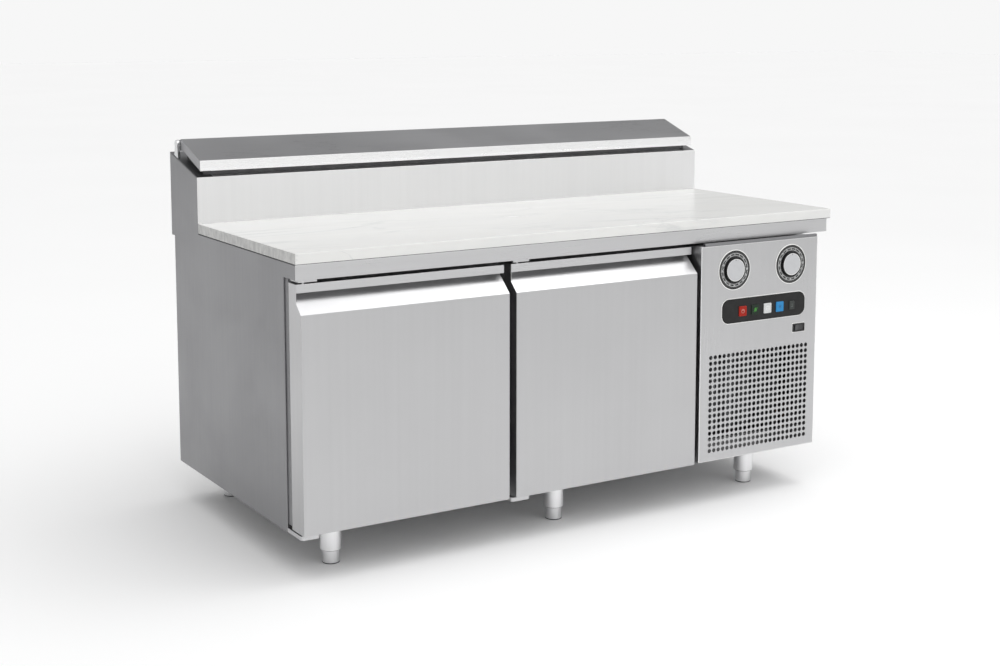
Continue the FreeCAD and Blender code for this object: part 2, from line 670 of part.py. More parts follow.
def evaporator_coil():
    """Cooling coil on the centre line behind the mullion."""
    return finned_coil(BAYS[0][1] + 12, BAYS[1][0] - 12, *EVAPORATOR, 24, 8, False)


# --- machinery -----------------------------------------------------------------------------
def condenser_coil():
    """Air-cooled coil right behind the perforated panel."""
    width, depth, height = CONDENSER_SIZE
    return finned_coil(MACHINE_CENTRE_X - width / 2, MACHINE_CENTRE_X + width / 2, CONDENSER_Y,
                       CONDENSER_Y + depth, CONDENSER_Z, CONDENSER_Z + height, 28, 8, True)


def condenser_fan_motor():
    """Fan shroud with the motor carried on four struts behind the blades."""
    cx = MACHINE_CENTRE_X
    plate_y = CONDENSER_Y + CONDENSER_SIZE[1]
    ring_end = plate_y + SHROUD_DEPTH
    opening = FAN_R + 6
    side = CONDENSER_SIZE[0] / 2
    plate = block(cx - side, cx + side, plate_y, plate_y + 2, CONDENSER_Z, CONDENSER_Z + CONDENSER_SIZE[2])
    ring = rod(opening + 2, (cx, plate_y, FAN_Z), (cx, ring_end, FAN_Z))
    hole = rod(opening, (cx, plate_y - 1, FAN_Z), (cx, ring_end + 1, FAN_Z))
    motor_front = ring_end + 3
    motor = rod(MOTOR_R, (cx, motor_front, FAN_Z), (cx, motor_front + MOTOR_LENGTH, FAN_Z))
    reach = opening + 1
    grip = MOTOR_R - 4
    struts = []
    for turn in range(4):
        angle = math.radians(45 + 90 * turn)
        foot = (cx + reach * math.cos(angle), ring_end - 2, FAN_Z + reach * math.sin(angle))
        head = (cx + grip * math.cos(angle), motor_front + 8, FAN_Z + grip * math.sin(angle))
        struts.append(rod(3.5, foot, head))
    shaft = rod(3.0 - PIN_CLEARANCE, (cx, plate_y + 12, FAN_Z), (cx, motor_front + 1, FAN_Z))
    return joined([joined([plate, ring]).cut(hole), motor, shaft] + struts)


def fan_blades():
    """Axial fan: a bored hub and pitched blades."""
    cx = MACHINE_CENTRE_X
    start_y = CONDENSER_Y + CONDENSER_SIZE[1] + 10
    root = HUB_R - 4
    parts = [rod(HUB_R, (cx, start_y, FAN_Z), (cx, start_y + HUB_LENGTH, FAN_Z))]
    for index in range(FAN_BLADES):
        blade = Part.makeBox(2 * HUB_R, 2, FAN_R - root, vec(-HUB_R, -1, root))
        blade.rotate(vec(0, 0, 0), Z_AXIS, FAN_PITCH)
        blade = blade.common(Part.makeCylinder(FAN_R, 80, vec(0, -40, 0), Y_AXIS))
        blade.rotate(vec(0, 0, 0), Y_AXIS, 360.0 * index / FAN_BLADES)
        blade.translate(vec(cx, start_y + HUB_LENGTH / 2, FAN_Z))
        parts.append(blade)
    bore = rod(3.0, (cx, start_y - 1, FAN_Z), (cx, start_y + HUB_LENGTH + 1, FAN_Z))
    return joined(parts).cut(bore)


def compressor():
    """Hermetic compressor: a welded pot with a domed top on a foot plate."""
    cx = MACHINE_CENTRE_X
    feet_x, feet_y, feet_z = COMPRESSOR_FEET
    base = block(cx - feet_x / 2, cx + feet_x / 2, COMPRESSOR_Y - feet_y / 2, COMPRESSOR_Y + feet_y / 2,
                 WALL, WALL + feet_z)
    pot_z = WALL + 12
    shoulder = pot_z + COMPRESSOR_POT
    pot = Part.makeCylinder(COMPRESSOR_R, COMPRESSOR_POT, vec(cx, COMPRESSOR_Y, pot_z))
    neck = Part.makeCylinder(COMPRESSOR_R - 26, 20, vec(cx, COMPRESSOR_Y, WALL + 2))
    dome_r = (COMPRESSOR_R ** 2 + COMPRESSOR_DOME ** 2) / (2 * COMPRESSOR_DOME)
    dome = Part.makeSphere(dome_r, vec(cx, COMPRESSOR_Y, shoulder + COMPRESSOR_DOME - dome_r))
    dome = dome.common(Part.makeCylinder(COMPRESSOR_R, COMPRESSOR_DOME + 1, vec(cx, COMPRESSOR_Y, shoulder)))
    seam = Part.makeCylinder(COMPRESSOR_R + 3, 6, vec(cx, COMPRESSOR_Y, pot_z + 80))
    terminals = block(cx - COMPRESSOR_R - 22, cx - COMPRESSOR_R + 8, COMPRESSOR_Y - 28, COMPRESSOR_Y + 28,
                      pot_z + 38, pot_z + 108)
    return joined([base, pot, neck, dome, seam, terminals])


def bent_pipe(points, radius, bend):
    """Pipe through points with a round bend at each inner point."""
    corners = [vec(*p) for p in points]
    edges = []
    at = corners[0]
    for before, corner, after in zip(corners, corners[1:], corners[2:]):
        inward = (before - corner).normalize()
        outward = (after - corner).normalize()
        half = inward.getAngle(outward) / 2
        reach = bend / math.tan(half)
        start = corner + inward * reach
        end = corner + outward * reach
        bisector = (inward + outward).normalize()
        middle = corner + bisector * (bend / math.sin(half) - bend)
        edges.append(Part.makeLine(at, start))
        edges.append(Part.Arc(start, middle, end).toShape())
        at = end
    edges.append(Part.makeLine(at, corners[-1]))
    spine = Part.Wire(edges)
    profile = Part.Wire(Part.makeCircle(radius, corners[0], corners[1] - corners[0]))
    return spine.makePipeShell([profile], True, False)


def refrigerant_pipes():
    """Copper discharge and suction lines from the compressor."""
    cx = MACHINE_CENTRE_X
    coil_end = cx + CONDENSER_SIZE[0] / 2 + COIL_TUBE_PROUD
    run_x = coil_end + 14
    low = CONDENSER_Z + CONDENSER_SIZE[2] / 16
    coil_y = CONDENSER_Y + CONDENSER_SIZE[1] / 2
    out_z = WALL + 70
    discharge = bent_pipe([(cx + COMPRESSOR_R + TOUCH_GAP, COMPRESSOR_Y, out_z), (run_x, COMPRESSOR_Y, out_z),
                           (run_x, coil_y, out_z), (run_x, coil_y, low), (coil_end, coil_y, low)], 4.0, 7.0)
    in_z = WALL + 60
    rise_y = COMPRESSOR_Y + 130
    stub_x = cx - 50
    stub_y = COMPRESSOR_Y + math.sqrt(COMPRESSOR_R ** 2 - 45 ** 2) + TOUCH_GAP
    suction = bent_pipe([(stub_x, stub_y, in_z), (stub_x, rise_y, in_z), (stub_x, rise_y, SUCTION_Z),
                         (PARTITION_RIGHT, rise_y, SUCTION_Z)], 5.0, 16.0)
    return Part.makeCompound([discharge, suction])


def power_inlet():
    """Recessed mains inlet on the back of the machine compartment."""
    x = BODY_RIGHT - 80
    z = 92.0
    body = rounded_plate((x, z), (50.0, 30.0), 4.0, BODY_REAR, BODY_REAR + 5)
    socket = rounded_plate((x, z), (28.0, 20.0), 3.0, BODY_REAR + 1.5, BODY_REAR + 6)
    return body.cut(socket)


# --- machine compartment front -------------------------------------------------------------
def button_centre(index):
    """Centre of a button on the panel, as x and z."""
    return BUTTON_FIRST_X + index * BUTTON_PITCH, BUTTON_Z


def button_size(index):
    """Width and height of a button's face."""
    return SMALL_BUTTON_SIZE if index == len(BUTTON_NAMES) - 1 else BUTTON_SIZE


def button_cutouts(y0, y1):
    """Clear holes for all the buttons, right through between two depths."""
    holes = []
    for index in range(len(BUTTON_NAMES)):
        width, height = button_size(index)
        size = (width + 2 * TOUCH_GAP, height + 2 * TOUCH_GAP)
        holes.append(rounded_plate(button_centre(index), size, 2.5, y0, y1))
    return Part.makeCompound(holes)


def vent_panel():
    """Folded front panel of the machine compartment with its field of round vents."""
    panel = block(PANEL_LEFT, PANEL_RIGHT, DOOR_FACE, BODY_FRONT - TOUCH_GAP, PANEL_BOTTOM, PANEL_TOP)
    upright = [e for e in panel.Edges if abs(e.tangentAt(0).z) > 0.99 and e.CenterOfMass.y < 0]
    panel = panel.makeFillet(3.0, upright)
    inside = block(PANEL_LEFT + PANEL_SHEET, PANEL_RIGHT - PANEL_SHEET, DOOR_FACE + PANEL_SHEET,
                   BODY_FRONT + 5, PANEL_BOTTOM + PANEL_SHEET, PANEL_TOP - PANEL_SHEET)
    panel = panel.cut(inside)
    front = DOOR_FACE - 1
    back = DOOR_FACE + PANEL_SHEET + 1
    holes = []
    for column in range(VENT_COLUMNS):
        for row in range(VENT_ROWS):
            x = VENT_FIRST_X + column * VENT_PITCH_X
            z = VENT_FIRST_Z + row * VENT_PITCH_Z
            holes.append(rod(VENT_HOLE_R, (x, front, z), (x, back, z)))
    for x, z in DIAL_CENTRES:
        holes.append(rod(KNOB_SHAFT_R + PIN_CLEARANCE, (x, front, z), (x, back, z)))
    switch_hole = (SWITCH_SIZE[0] - 2 * SWITCH_BORDER + 1, SWITCH_SIZE[1] - 2 * SWITCH_BORDER + 1)
    holes.append(rounded_plate(SWITCH_CENTRE, switch_hole, 1.0, front, back))
    return panel.cut(Part.makeCompound(holes)).cut(button_cutouts(front, back))


def control_plate():
    """Dark plate around the buttons."""
    plate = rounded_plate(PLATE_CENTRE, PLATE_SIZE, PLATE_CORNER, DOOR_FACE - PLATE_THICK, DOOR_FACE)
    return plate.cut(button_cutouts(DOOR_FACE - PLATE_THICK - 1, DOOR_FACE + 1))


def button(index):
    """Push button with a slightly rounded face; it slides through the plate and the panel."""
    width, height = button_size(index)
    front = DOOR_FACE - PLATE_THICK - BUTTON_PROUD
    cap = rounded_plate(button_centre(index), (width, height), 2.5, front, DOOR_FACE + BUTTON_REAR)
    rim = [e for e in cap.Edges if e.BoundBox.YMax < front + 0.1]
    return cap.makeChamfer(0.7, rim)


def dial_scales():
    """Flat scale ring around each dial knob."""
    rings = []
    for x, z in DIAL_CENTRES:
        disc = rod(DIAL_OUTER_R, (x, DOOR_FACE - DIAL_THICK, z), (x, DOOR_FACE, z))
        rings.append(disc.cut(rod(DIAL_INNER_R, (x, DOOR_FACE - 9, z), (x, DOOR_FACE + 9, z))))
    return Part.makeCompound(rings)


def dial_knob(x, z):
    """Low round knob with a shallow dished face, a pointer groove and its shaft."""
    radius = DIAL_INNER_R - TOUCH_GAP
    body = rod(radius, (x, KNOB_FRONT, z), (x, DOOR_FACE - TOUCH_GAP, z))
    edge = [e for e in body.Edges if e.BoundBox.YMax < KNOB_FRONT + 0.1]
    body = body.makeChamfer(1.2, edge)
    dish = rod(radius - 6, (x, KNOB_FRONT - 1, z), (x, KNOB_FRONT + 1.2, z))
    pointer = block(x - 1.2, x + 1.2, KNOB_FRONT - 1, KNOB_FRONT + 0.8, z + radius - 7, z + radius + 1)
    shaft = rod(KNOB_SHAFT_R, (x, DOOR_FACE - 2, z), (x, DOOR_FACE + 20, z))
    return joined([body.cut(dish).cut(pointer), shaft])


def rocker_pin(radius):
    """Upright pivot of the rocker, as a bar of the given radius."""
    cx, cz = SWITCH_CENTRE
    low, high = cz - ROCKER_PIN_REACH, cz + ROCKER_PIN_REACH
    return rod(radius, (cx, ROCKER_PIVOT_Y, low), (cx, ROCKER_PIVOT_Y, high))


def switch_frame():
    """Snap-in frame of the mains switch, with its housing behind the panel and the pivot's bores."""
    window = (SWITCH_SIZE[0] - 2 * SWITCH_BORDER, SWITCH_SIZE[1] - 2 * SWITCH_BORDER)
    front = DOOR_FACE - 2.0
    back = DOOR_FACE + SWITCH_DEPTH
    bezel = rounded_plate(SWITCH_CENTRE, SWITCH_SIZE, 1.5, front, DOOR_FACE)
    housing = rounded_plate(SWITCH_CENTRE, (window[0] + 0.8, window[1] + 0.8), 0.8, DOOR_FACE, back)
    room = rounded_plate(SWITCH_CENTRE, (window[0] - 0.8, window[1] - 0.8), 0.5, front - 1, back - 2)
    return joined([bezel, housing]).cut(room).cut(rocker_pin(ROCKER_PIN_R + PIN_CLEARANCE))


def mains_rocker():
    """Rocker of the mains switch on its pivot pin, tilted into its off position."""
    cx, cz = SWITCH_CENTRE
    half_width = (SWITCH_SIZE[0] - 2 * SWITCH_BORDER) / 2 - 2.2
    half_height = (SWITCH_SIZE[1] - 2 * SWITCH_BORDER) / 2 - 0.9
    rise = half_width * math.tan(math.radians(ROCKER_TILT))
    corners = [(-half_width, -rise), (0, 0), (half_width, -rise), (half_width, 7), (-half_width, 7)]
    points = [vec(cx + x, DOOR_FACE + y - 0.4, cz - half_height) for x, y in corners]
    rocker = Part.Face(Part.makePolygon(points + points[:1])).extrude(vec(0, 0, 2 * half_height))
    rocker.rotate(vec(cx, ROCKER_PIVOT_Y, cz), Z_AXIS, ROCKER_TILT)
    return joined([rocker, rocker_pin(ROCKER_PIN_R)])


def cover_screws():
    """Cross-head screws around the rear cover, and flush ones along the hood's back."""
    left = PARTITION_RIGHT + 14
    right = BODY_RIGHT - 29
    points = [(x, BODY_REAR, z) for x in (left, right) for z in COVER_SCREW_Z]
    points += [(x, HOOD_REAR - SCREW_HEAD, z) for x, z in hood_screw_points()]
    screws = []
    for x, y, z in points:
        head = rod(SCREW_R, (x, y, z), (x, y + SCREW_HEAD, z))
        cross = joined([block(x - 3, x + 3, y + 1.2, y + 3, z - 0.6, z + 0.6),
                        block(x - 0.6, x + 0.6, y + 1.2, y + 3, z - 3, z + 3)])
        screws.append(head.cut(cross))
    return Part.makeCompound(screws)


# --- legs ----------------------------------------------------------------------------------
def leg_points():
    """Plan position of every leg, front row first."""
    return [(x, y) for y in LEG_Y for x in LEG_X]


def leg_sockets():
    """Round sleeves with a fixing flange under the floor."""
    sockets = []
    for x, y in leg_points():
        flange = Part.makeCylinder(SLEEVE_R + 8, 3, vec(x, y, -3))
        sleeve = Part.makeCylinder(SLEEVE_R, -SLEEVE_BOTTOM, vec(x, y, SLEEVE_BOTTOM))
        bore = Part.makeCylinder(FOOT_R + TOUCH_GAP, -SLEEVE_BOTTOM, vec(x, y, SLEEVE_BOTTOM - 6))
        sockets.append(joined([flange, sleeve]).cut(bore))
    return Part.makeCompound(sockets)


def levelling_foot(x, y):
    """Tubular foot that telescopes out of its sleeve, with a closed chamfered end."""
    height = FOOT_TOP + LEG_HEIGHT
    foot = Part.makeCylinder(FOOT_R, height, vec(x, y, -LEG_HEIGHT))
    edge = [e for e in foot.Edges if e.BoundBox.ZMax < -LEG_HEIGHT + 0.1]
    foot = foot.makeChamfer(2.5, edge)
    return foot.cut(Part.makeCylinder(FOOT_R - FOOT_WALL, height, vec(x, y, -LEG_HEIGHT + 6)))


# --- build ---------------------------------------------------------------------------------
SINGLE_NODES = (left_side_panel, right_side_panel, rear_panel, machine_rear_cover, cabinet_floor,
                bay_partition, door_mullion, breaker_frames, worktop_subframe, marble_worktop,
                hood_front_panel, hood_rear_panel, hood_end_right, well_liner, pan_rail_frame,
                ingredient_pans, lid_cover,
                lid_front_trim, lid_liner, lid_gasket, lid_hinge_lugs, door_hinge_brackets, shelf_uprights,
                evaporator_coil, condenser_coil, condenser_fan_motor, fan_blades, compressor,
                refrigerant_pipes, power_inlet, vent_panel, control_plate, dial_scales, switch_frame,
                mains_rocker, cover_screws, leg_sockets)


def main():
    """Build and write every node."""
    os.makedirs("parts", exist_ok=True)
    for maker in SINGLE_NODES:
        export(maker.__name__, maker())
    for number, (x0, x1) in enumerate(DOOR_SPANS, 1):
        for maker in (door_panel, door_handle, door_liner, door_gasket):
            export(maker.__name__.replace("door", "door_%d" % number), maker(x0, x1))
    for number, (left, right) in enumerate(BAYS, 1):
        export("wire_shelf_%d" % number, wire_shelf(left, right))
    for number, (x, z) in enumerate(DIAL_CENTRES, 1):
        export("dial_knob_%d" % number, dial_knob(x, z))
    for index, name in enumerate(BUTTON_NAMES):
        export("button_" + name, button(index))
    for number, (x, y) in enumerate(leg_points(), 1):
        export("levelling_foot_%d" % number, levelling_foot(x, y))


main()
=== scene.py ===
"""Looks of a two-door refrigerated sandwich prep table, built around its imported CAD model.

Everything is in metres in the model's own frame: X runs right, Y runs back, Z runs up, and the
origin is the bottom centre. Places are read from the CAD nodes, so no piece is fitted by eye.
"""
import json
import logging
import math
from dataclasses import dataclass
from enum import Enum
from typing import Any, Callable, Iterable, Sequence

import bmesh
import bpy
import numpy as np
from mathutils import Matrix, Vector


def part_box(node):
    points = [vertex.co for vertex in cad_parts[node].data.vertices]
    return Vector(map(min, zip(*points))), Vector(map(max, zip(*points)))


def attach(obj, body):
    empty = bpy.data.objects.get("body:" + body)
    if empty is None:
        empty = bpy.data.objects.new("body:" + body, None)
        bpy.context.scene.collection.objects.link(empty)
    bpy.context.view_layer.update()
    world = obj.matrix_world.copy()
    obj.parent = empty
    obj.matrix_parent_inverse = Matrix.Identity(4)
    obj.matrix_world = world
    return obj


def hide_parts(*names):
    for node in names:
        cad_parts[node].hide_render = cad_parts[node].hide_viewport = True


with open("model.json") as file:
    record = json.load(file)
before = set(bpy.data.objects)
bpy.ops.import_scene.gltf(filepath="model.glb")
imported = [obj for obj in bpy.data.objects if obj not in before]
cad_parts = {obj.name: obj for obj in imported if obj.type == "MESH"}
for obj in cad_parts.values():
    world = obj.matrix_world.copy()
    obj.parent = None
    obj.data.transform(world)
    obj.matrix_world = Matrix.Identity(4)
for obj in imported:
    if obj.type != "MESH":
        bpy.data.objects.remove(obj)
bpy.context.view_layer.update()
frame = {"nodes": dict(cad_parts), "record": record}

LOG = logging.getLogger("prep_table")
MM = 0.001
WELD = 0.005 * MM
POLE_WELD = 0.002 * MM
FLAT_TURN = math.radians(0.5)
Point = tuple[float, float, float]
Flat = tuple[float, float]


class Axis(Enum):
    """A direction of the model's frame."""

    X = 0
    Y = 1
    Z = 2


# --- the record -------------------------------------------------------------------------------
BODY_OF: dict[str, str] = {
    node: body for body, nodes in frame["record"]["behaviour"]["bodies"].items() for node in nodes
}


def middle(node: str) -> Vector:
    """Centre of a CAD node's box at rest."""
    low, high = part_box(node)
    return (low + high) / 2


# --- node trees -------------------------------------------------------------------------------
def linear(hex_colour: str) -> tuple[float, float, float, float]:
    """Turn an sRGB hex colour into linear RGBA.

    Args:
        hex_colour: Six hex digits with or without a leading hash.

    Returns:
        Red, green, blue and an alpha of one.
    """
    digits = hex_colour.lstrip("#")
    parts = [int(digits[i:i + 2], 16) / 255 for i in (0, 2, 4)]
    red, green, blue = (c / 12.92 if c <= 0.04045 else ((c + 0.055) / 1.055) ** 2.4 for c in parts)
    return red, green, blue, 1.0


def shaded(colour: str, factor: float, lift: float = 0.0) -> tuple[float, ...]:
    """Linear RGBA of a hex colour, made lighter or darker and lifted a little."""
    return tuple(min(1.0, c * factor + lift) for c in linear(colour)[:3]) + (1.0,)


def add_node(tree: bpy.types.NodeTree, kind: str, inputs: dict[Any, Any] | None = None,
             **settings: Any) -> bpy.types.Node:
    """Add a node with its settings, values and links.

    Args:
        tree: Tree that gets the node.
        kind: Blender's type name of the node.
        inputs: Value or output socket for each input, by name or index.
        **settings: Properties of the node itself.

    Returns:
        The new node.
    """
    node = tree.nodes.new(kind)
    for name, value in settings.items():
        setattr(node, name, value)
    for key, value in (inputs or {}).items():
        if isinstance(value, bpy.types.NodeSocket):
            tree.links.new(value, node.inputs[key])
        else:
            node.inputs[key].default_value = value
    return node


def noise(tree: bpy.types.NodeTree, place: bpy.types.NodeSocket, grain: Sequence[float],
          detail: float = 2.0, warp: float = 0.0) -> bpy.types.NodeSocket:
    """Noise whose features have the given size along each axis.

    Args:
        tree: Material tree.
        place: Object coordinates.
        grain: Feature size along X, Y and Z in metres.
        detail: Octaves of finer noise.
        warp: Distortion of the pattern.

    Returns:
        The noise value, around 0.5.
    """
    scaled = add_node(tree, "ShaderNodeMapping",
                      {"Vector": place, "Scale": [1 / size for size in grain]})
    made = add_node(tree, "ShaderNodeTexNoise",
                    {"Vector": scaled.outputs[0], "Scale": 1.0, "Detail": detail, "Distortion": warp})
    return made.outputs["Fac"]


def spread(tree: bpy.types.NodeTree, value: bpy.types.NodeSocket, source: Flat,
           target: Flat) -> bpy.types.NodeSocket:
    """Carry a value from one range to another, held at the ends."""
    made = add_node(tree, "ShaderNodeMapRange", {
        "Value": value, "From Min": source[0], "From Max": source[1],
        "To Min": target[0], "To Max": target[1]})
    return made.outputs[0]


def blend_colour(tree: bpy.types.NodeTree, amount: bpy.types.NodeSocket, first: Any,
                 second: Any) -> bpy.types.NodeSocket:
    """Mix two colours, each a linear colour or a socket, by a socket's amount."""
    made = add_node(tree, "ShaderNodeMix", {0: amount, 6: first, 7: second}, data_type="RGBA")
    return made.outputs[2]


def calculate(tree: bpy.types.NodeTree, operation: str, *values: Any) -> bpy.types.NodeSocket:
    """Result of a maths node on values or sockets."""
    return add_node(tree, "ShaderNodeMath", dict(enumerate(values)), operation=operation).outputs[0]


def bump(tree: bpy.types.NodeTree, height: bpy.types.NodeSocket, depth: float,
         strength: float = 1.0) -> bpy.types.NodeSocket:
    """Surface normal of a relief that is depth metres high."""
    made = add_node(tree, "ShaderNodeBump", {"Height": height, "Distance": depth, "Strength": strength})
    return made.outputs[0]


@dataclass(frozen=True)
class Finish:
    """A material made of nodes, named for what it is."""

    label: str
    colour: str
    roughness: float

    def material(self) -> bpy.types.Material:
        """The Blender material, made the first time that it is asked for."""
        known = bpy.data.materials.get(self.label)
        if known:
            return known
        made = bpy.data.materials.new(self.label)
        made.use_nodes = True
        tree = made.node_tree
        tree.nodes.clear()
        place = add_node(tree, "ShaderNodeTexCoord").outputs["Object"]
        shader = self.shade(tree, place)
        add_node(tree, "ShaderNodeOutputMaterial", {"Surface": shader.outputs[0]})
        made.diffuse_color = linear(self.colour)
        return made

    def shade(self, tree: bpy.types.NodeTree, place: bpy.types.NodeSocket) -> bpy.types.Node:
        """Shader of the finish.

        Args:
            tree: Empty material tree.
            place: Object coordinates.

        Returns:
            The shader node.
        """
        raise NotImplementedError


@dataclass(frozen=True)
class BrushedSteel(Finish):
    """Stainless sheet, belt-ground one way: long fine streaks, a soft sheen, faint wiping marks."""

    grain: Axis = Axis.X
    contrast: float = 0.3

    def shade(self, tree: bpy.types.NodeTree, place: bpy.types.NodeSocket) -> bpy.types.Node:
        """Streaks in the colour, the roughness and the relief."""
        # A 180-grit belt leaves lines about 0.15 mm wide; they are drawn 1 mm wide so that they show.
        fine = self._streak(tree, place, 1.0 * MM, 90 * MM, 3.0)
        broad = self._streak(tree, place, 14 * MM, 900 * MM, 1.0)
        smear = noise(tree, place, (0.31, 0.31, 0.24), 3.0, 0.6)
        lines = calculate(tree, "ADD", calculate(tree, "MULTIPLY", fine, 0.45),
                          calculate(tree, "MULTIPLY", broad, 0.55))
        low, high = 0.5 - 0.35 * self.contrast, 0.5 + 0.35 * self.contrast
        shift = spread(tree, lines, (0.3, 0.7), (low, high))
        tint = blend_colour(tree, shift, shaded(self.colour, 0.88), shaded(self.colour, 1.12))
        worn = calculate(tree, "ADD", spread(tree, fine, (0.3, 0.7), (-0.05, 0.05)),
                         spread(tree, smear, (0.35, 0.65), (self.roughness - 0.035, self.roughness + 0.045)))
        return add_node(tree, "ShaderNodeBsdfPrincipled", {
            "Base Color": tint, "Metallic": 1.0, "Roughness": worn,
            "Normal": bump(tree, fine, 0.03 * MM, 0.35)})

    def _streak(self, tree: bpy.types.NodeTree, place: bpy.types.NodeSocket, width: float,
                length: float, detail: float) -> bpy.types.NodeSocket:
        """Noise drawn out along the grain."""
        size = [width] * 3
        size[self.grain.value] = length
        return noise(tree, place, size, detail)


@dataclass(frozen=True)
class PolishedMarble(Finish):
    """White marble slab, honed and polished: grey clouds with thin broken veins, and a matt left end painted
    darker grey as shade.
    """

    vein: str = "#9EA2A6"
    cloud: str = "#CBCDCE"
    # Grey of the left end face, darker than the slab: painted shade on the face turned from the light.
    end_shade_grey: str = "#B9B9B8"
    left_end_x: float = 0.0

    def shade(self, tree: bpy.types.NodeTree, place: bpy.types.NodeSocket) -> bpy.types.Node:
        """Clouds and veins that run mostly along the slab, and the matt left end, whose darker grey is
        painted shade.
        """
        turned = add_node(tree, "ShaderNodeMapping",
                          {"Vector": place, "Rotation": (0.0, 0.0, math.radians(7))}).outputs[0]
        clouds = noise(tree, turned, (0.75, 0.16, 0.16), 5.0, 1.2)
        speckle = noise(tree, place, (2.5 * MM,) * 3, 2.0)
        thin = self._veins(tree, turned, (0.85, 0.21, 0.21), 0.012)
        thick = self._veins(tree, turned, (1.5, 0.42, 0.42), 0.03)
        where = spread(tree, noise(tree, turned, (0.5, 0.25, 0.25), 2.0), (0.46, 0.62), (0.0, 1.0))
        tint = blend_colour(tree, spread(tree, clouds, (0.48, 0.72), (0.0, 0.4)),
                            linear(self.colour), linear(self.cloud))
        for veins, strength in ((thin, 0.22), (thick, 0.25)):
            shown = calculate(tree, "MULTIPLY", veins, calculate(tree, "MULTIPLY", where, strength))
            tint = blend_colour(tree, shown, tint, linear(self.vein))
        # The left end face: matt, mottled and painted darker grey as painted shade.
        across = add_node(tree, "ShaderNodeSeparateXYZ", {0: place}).outputs[0]
        end = calculate(tree, "LESS_THAN", across, self.left_end_x)
        mottle = noise(tree, place, (14 * MM, 14 * MM, 22 * MM), 4.0, 0.5)
        end_shade_tint = blend_colour(tree, spread(tree, mottle, (0.36, 0.66), (0.0, 1.0)),
                                  linear(self.end_shade_grey), linear("#CDCDCB"))
        tint = blend_colour(tree, end, tint, end_shade_tint)
        polish = spread(tree, clouds, (0.3, 0.7), (self.roughness, self.roughness + 0.08))
        gloss = calculate(tree, "ADD", polish, calculate(tree, "MULTIPLY", end, 0.4))
        relief = calculate(tree, "ADD", calculate(tree, "MULTIPLY", end, mottle),
                           calculate(tree, "MULTIPLY", speckle, 0.04))
        return add_node(tree, "ShaderNodeBsdfPrincipled", {
            "Base Color": tint, "Roughness": gloss, "IOR": 1.5, "Normal": bump(tree, relief, 0.4 * MM, 0.4)})

    def _veins(self, tree: bpy.types.NodeTree, place: bpy.types.NodeSocket, size: Sequence[float],
               width: float) -> bpy.types.NodeSocket:
        """Thin lines where a warped noise crosses its middle value."""
        field = noise(tree, place, size, 7.0, 2.2)
        off = calculate(tree, "ABSOLUTE", calculate(tree, "SUBTRACT", field, 0.5))
        return spread(tree, off, (0.0, width), (1.0, 0.0))


@dataclass(frozen=True)
class MouldedPlastic(Finish):
    """Injection-moulded ABS: even colour, fine spark texture, slight sheen changes from handling."""

    texture: float = 0.6 * MM
    relief: float = 0.03 * MM
    sheen: float = 0.5

    def shade(self, tree: bpy.types.NodeTree, place: bpy.types.NodeSocket) -> bpy.types.Node:
        """Spark texture in the relief, handling in the gloss."""
        spark = noise(tree, place, (self.texture,) * 3, 3.0)
        touch = noise(tree, place, (18 * MM,) * 3, 3.0, 0.4)
        tint = blend_colour(tree, spread(tree, touch, (0.42, 0.75), (0.0, 0.7)), linear(self.colour),
                            shaded(self.colour, 0.9, 0.012))
        gloss = spread(tree, touch, (0.35, 0.65), (self.roughness - 0.05, self.roughness + 0.08))
        return add_node(tree, "ShaderNodeBsdfPrincipled", {
            "Base Color": tint, "Roughness": gloss, "IOR": 1.53, "Specular IOR Level": self.sheen,
            "Normal": bump(tree, spark, self.relief, 0.6)})


@dataclass(frozen=True)
class MagneticRubber(Finish):
    """Extruded PVC gasket: matt, with faint lines along the extrusion and a little bloom."""

    def shade(self, tree: bpy.types.NodeTree, place: bpy.types.NodeSocket) -> bpy.types.Node:
        """Bloom in the colour, small pits in the relief."""
        bloom = noise(tree, place, (25 * MM, 25 * MM, 40 * MM), 4.0, 0.5)
        pits = noise(tree, place, (0.8 * MM,) * 3, 2.0)
        tint = blend_colour(tree, spread(tree, bloom, (0.4, 0.7), (0.0, 0.5)), linear(self.colour),
                            linear("#747476"))
        return add_node(tree, "ShaderNodeBsdfPrincipled", {
            "Base Color": tint, "Roughness": self.roughness, "IOR": 1.52,
            "Normal": bump(tree, pits, 0.05 * MM, 0.6)})


@dataclass(frozen=True)
class GalvanisedSheet(Finish):
    """Hot-dipped zinc on steel: flat crystals 8 mm across that each catch the light differently."""

    crystal: float = 8 * MM

    def shade(self, tree: bpy.types.NodeTree, place: bpy.types.NodeSocket) -> bpy.types.Node:
        """Crystals in the colour and the gloss."""
        cells = add_node(tree, "ShaderNodeTexVoronoi", {"Vector": place, "Scale": 1 / self.crystal,
                                                        "Randomness": 1.0})
        value = add_node(tree, "ShaderNodeSeparateColor", {0: cells.outputs["Color"]}).outputs[0]
        haze = noise(tree, place, (0.12, 0.12, 0.12), 3.0)
        return add_node(tree, "ShaderNodeBsdfPrincipled", {
            "Base Color": blend_colour(tree, value, shaded(self.colour, 0.82), linear(self.colour)),
            "Metallic": 1.0,
            "Roughness": calculate(tree, "ADD", spread(tree, value, (0.0, 1.0), (-0.06, 0.06)),
                                   spread(tree, haze, (0.3, 0.7),
                                          (self.roughness - 0.05, self.roughness + 0.05))),
            "Normal": bump(tree, haze, 0.1 * MM, 0.3)})


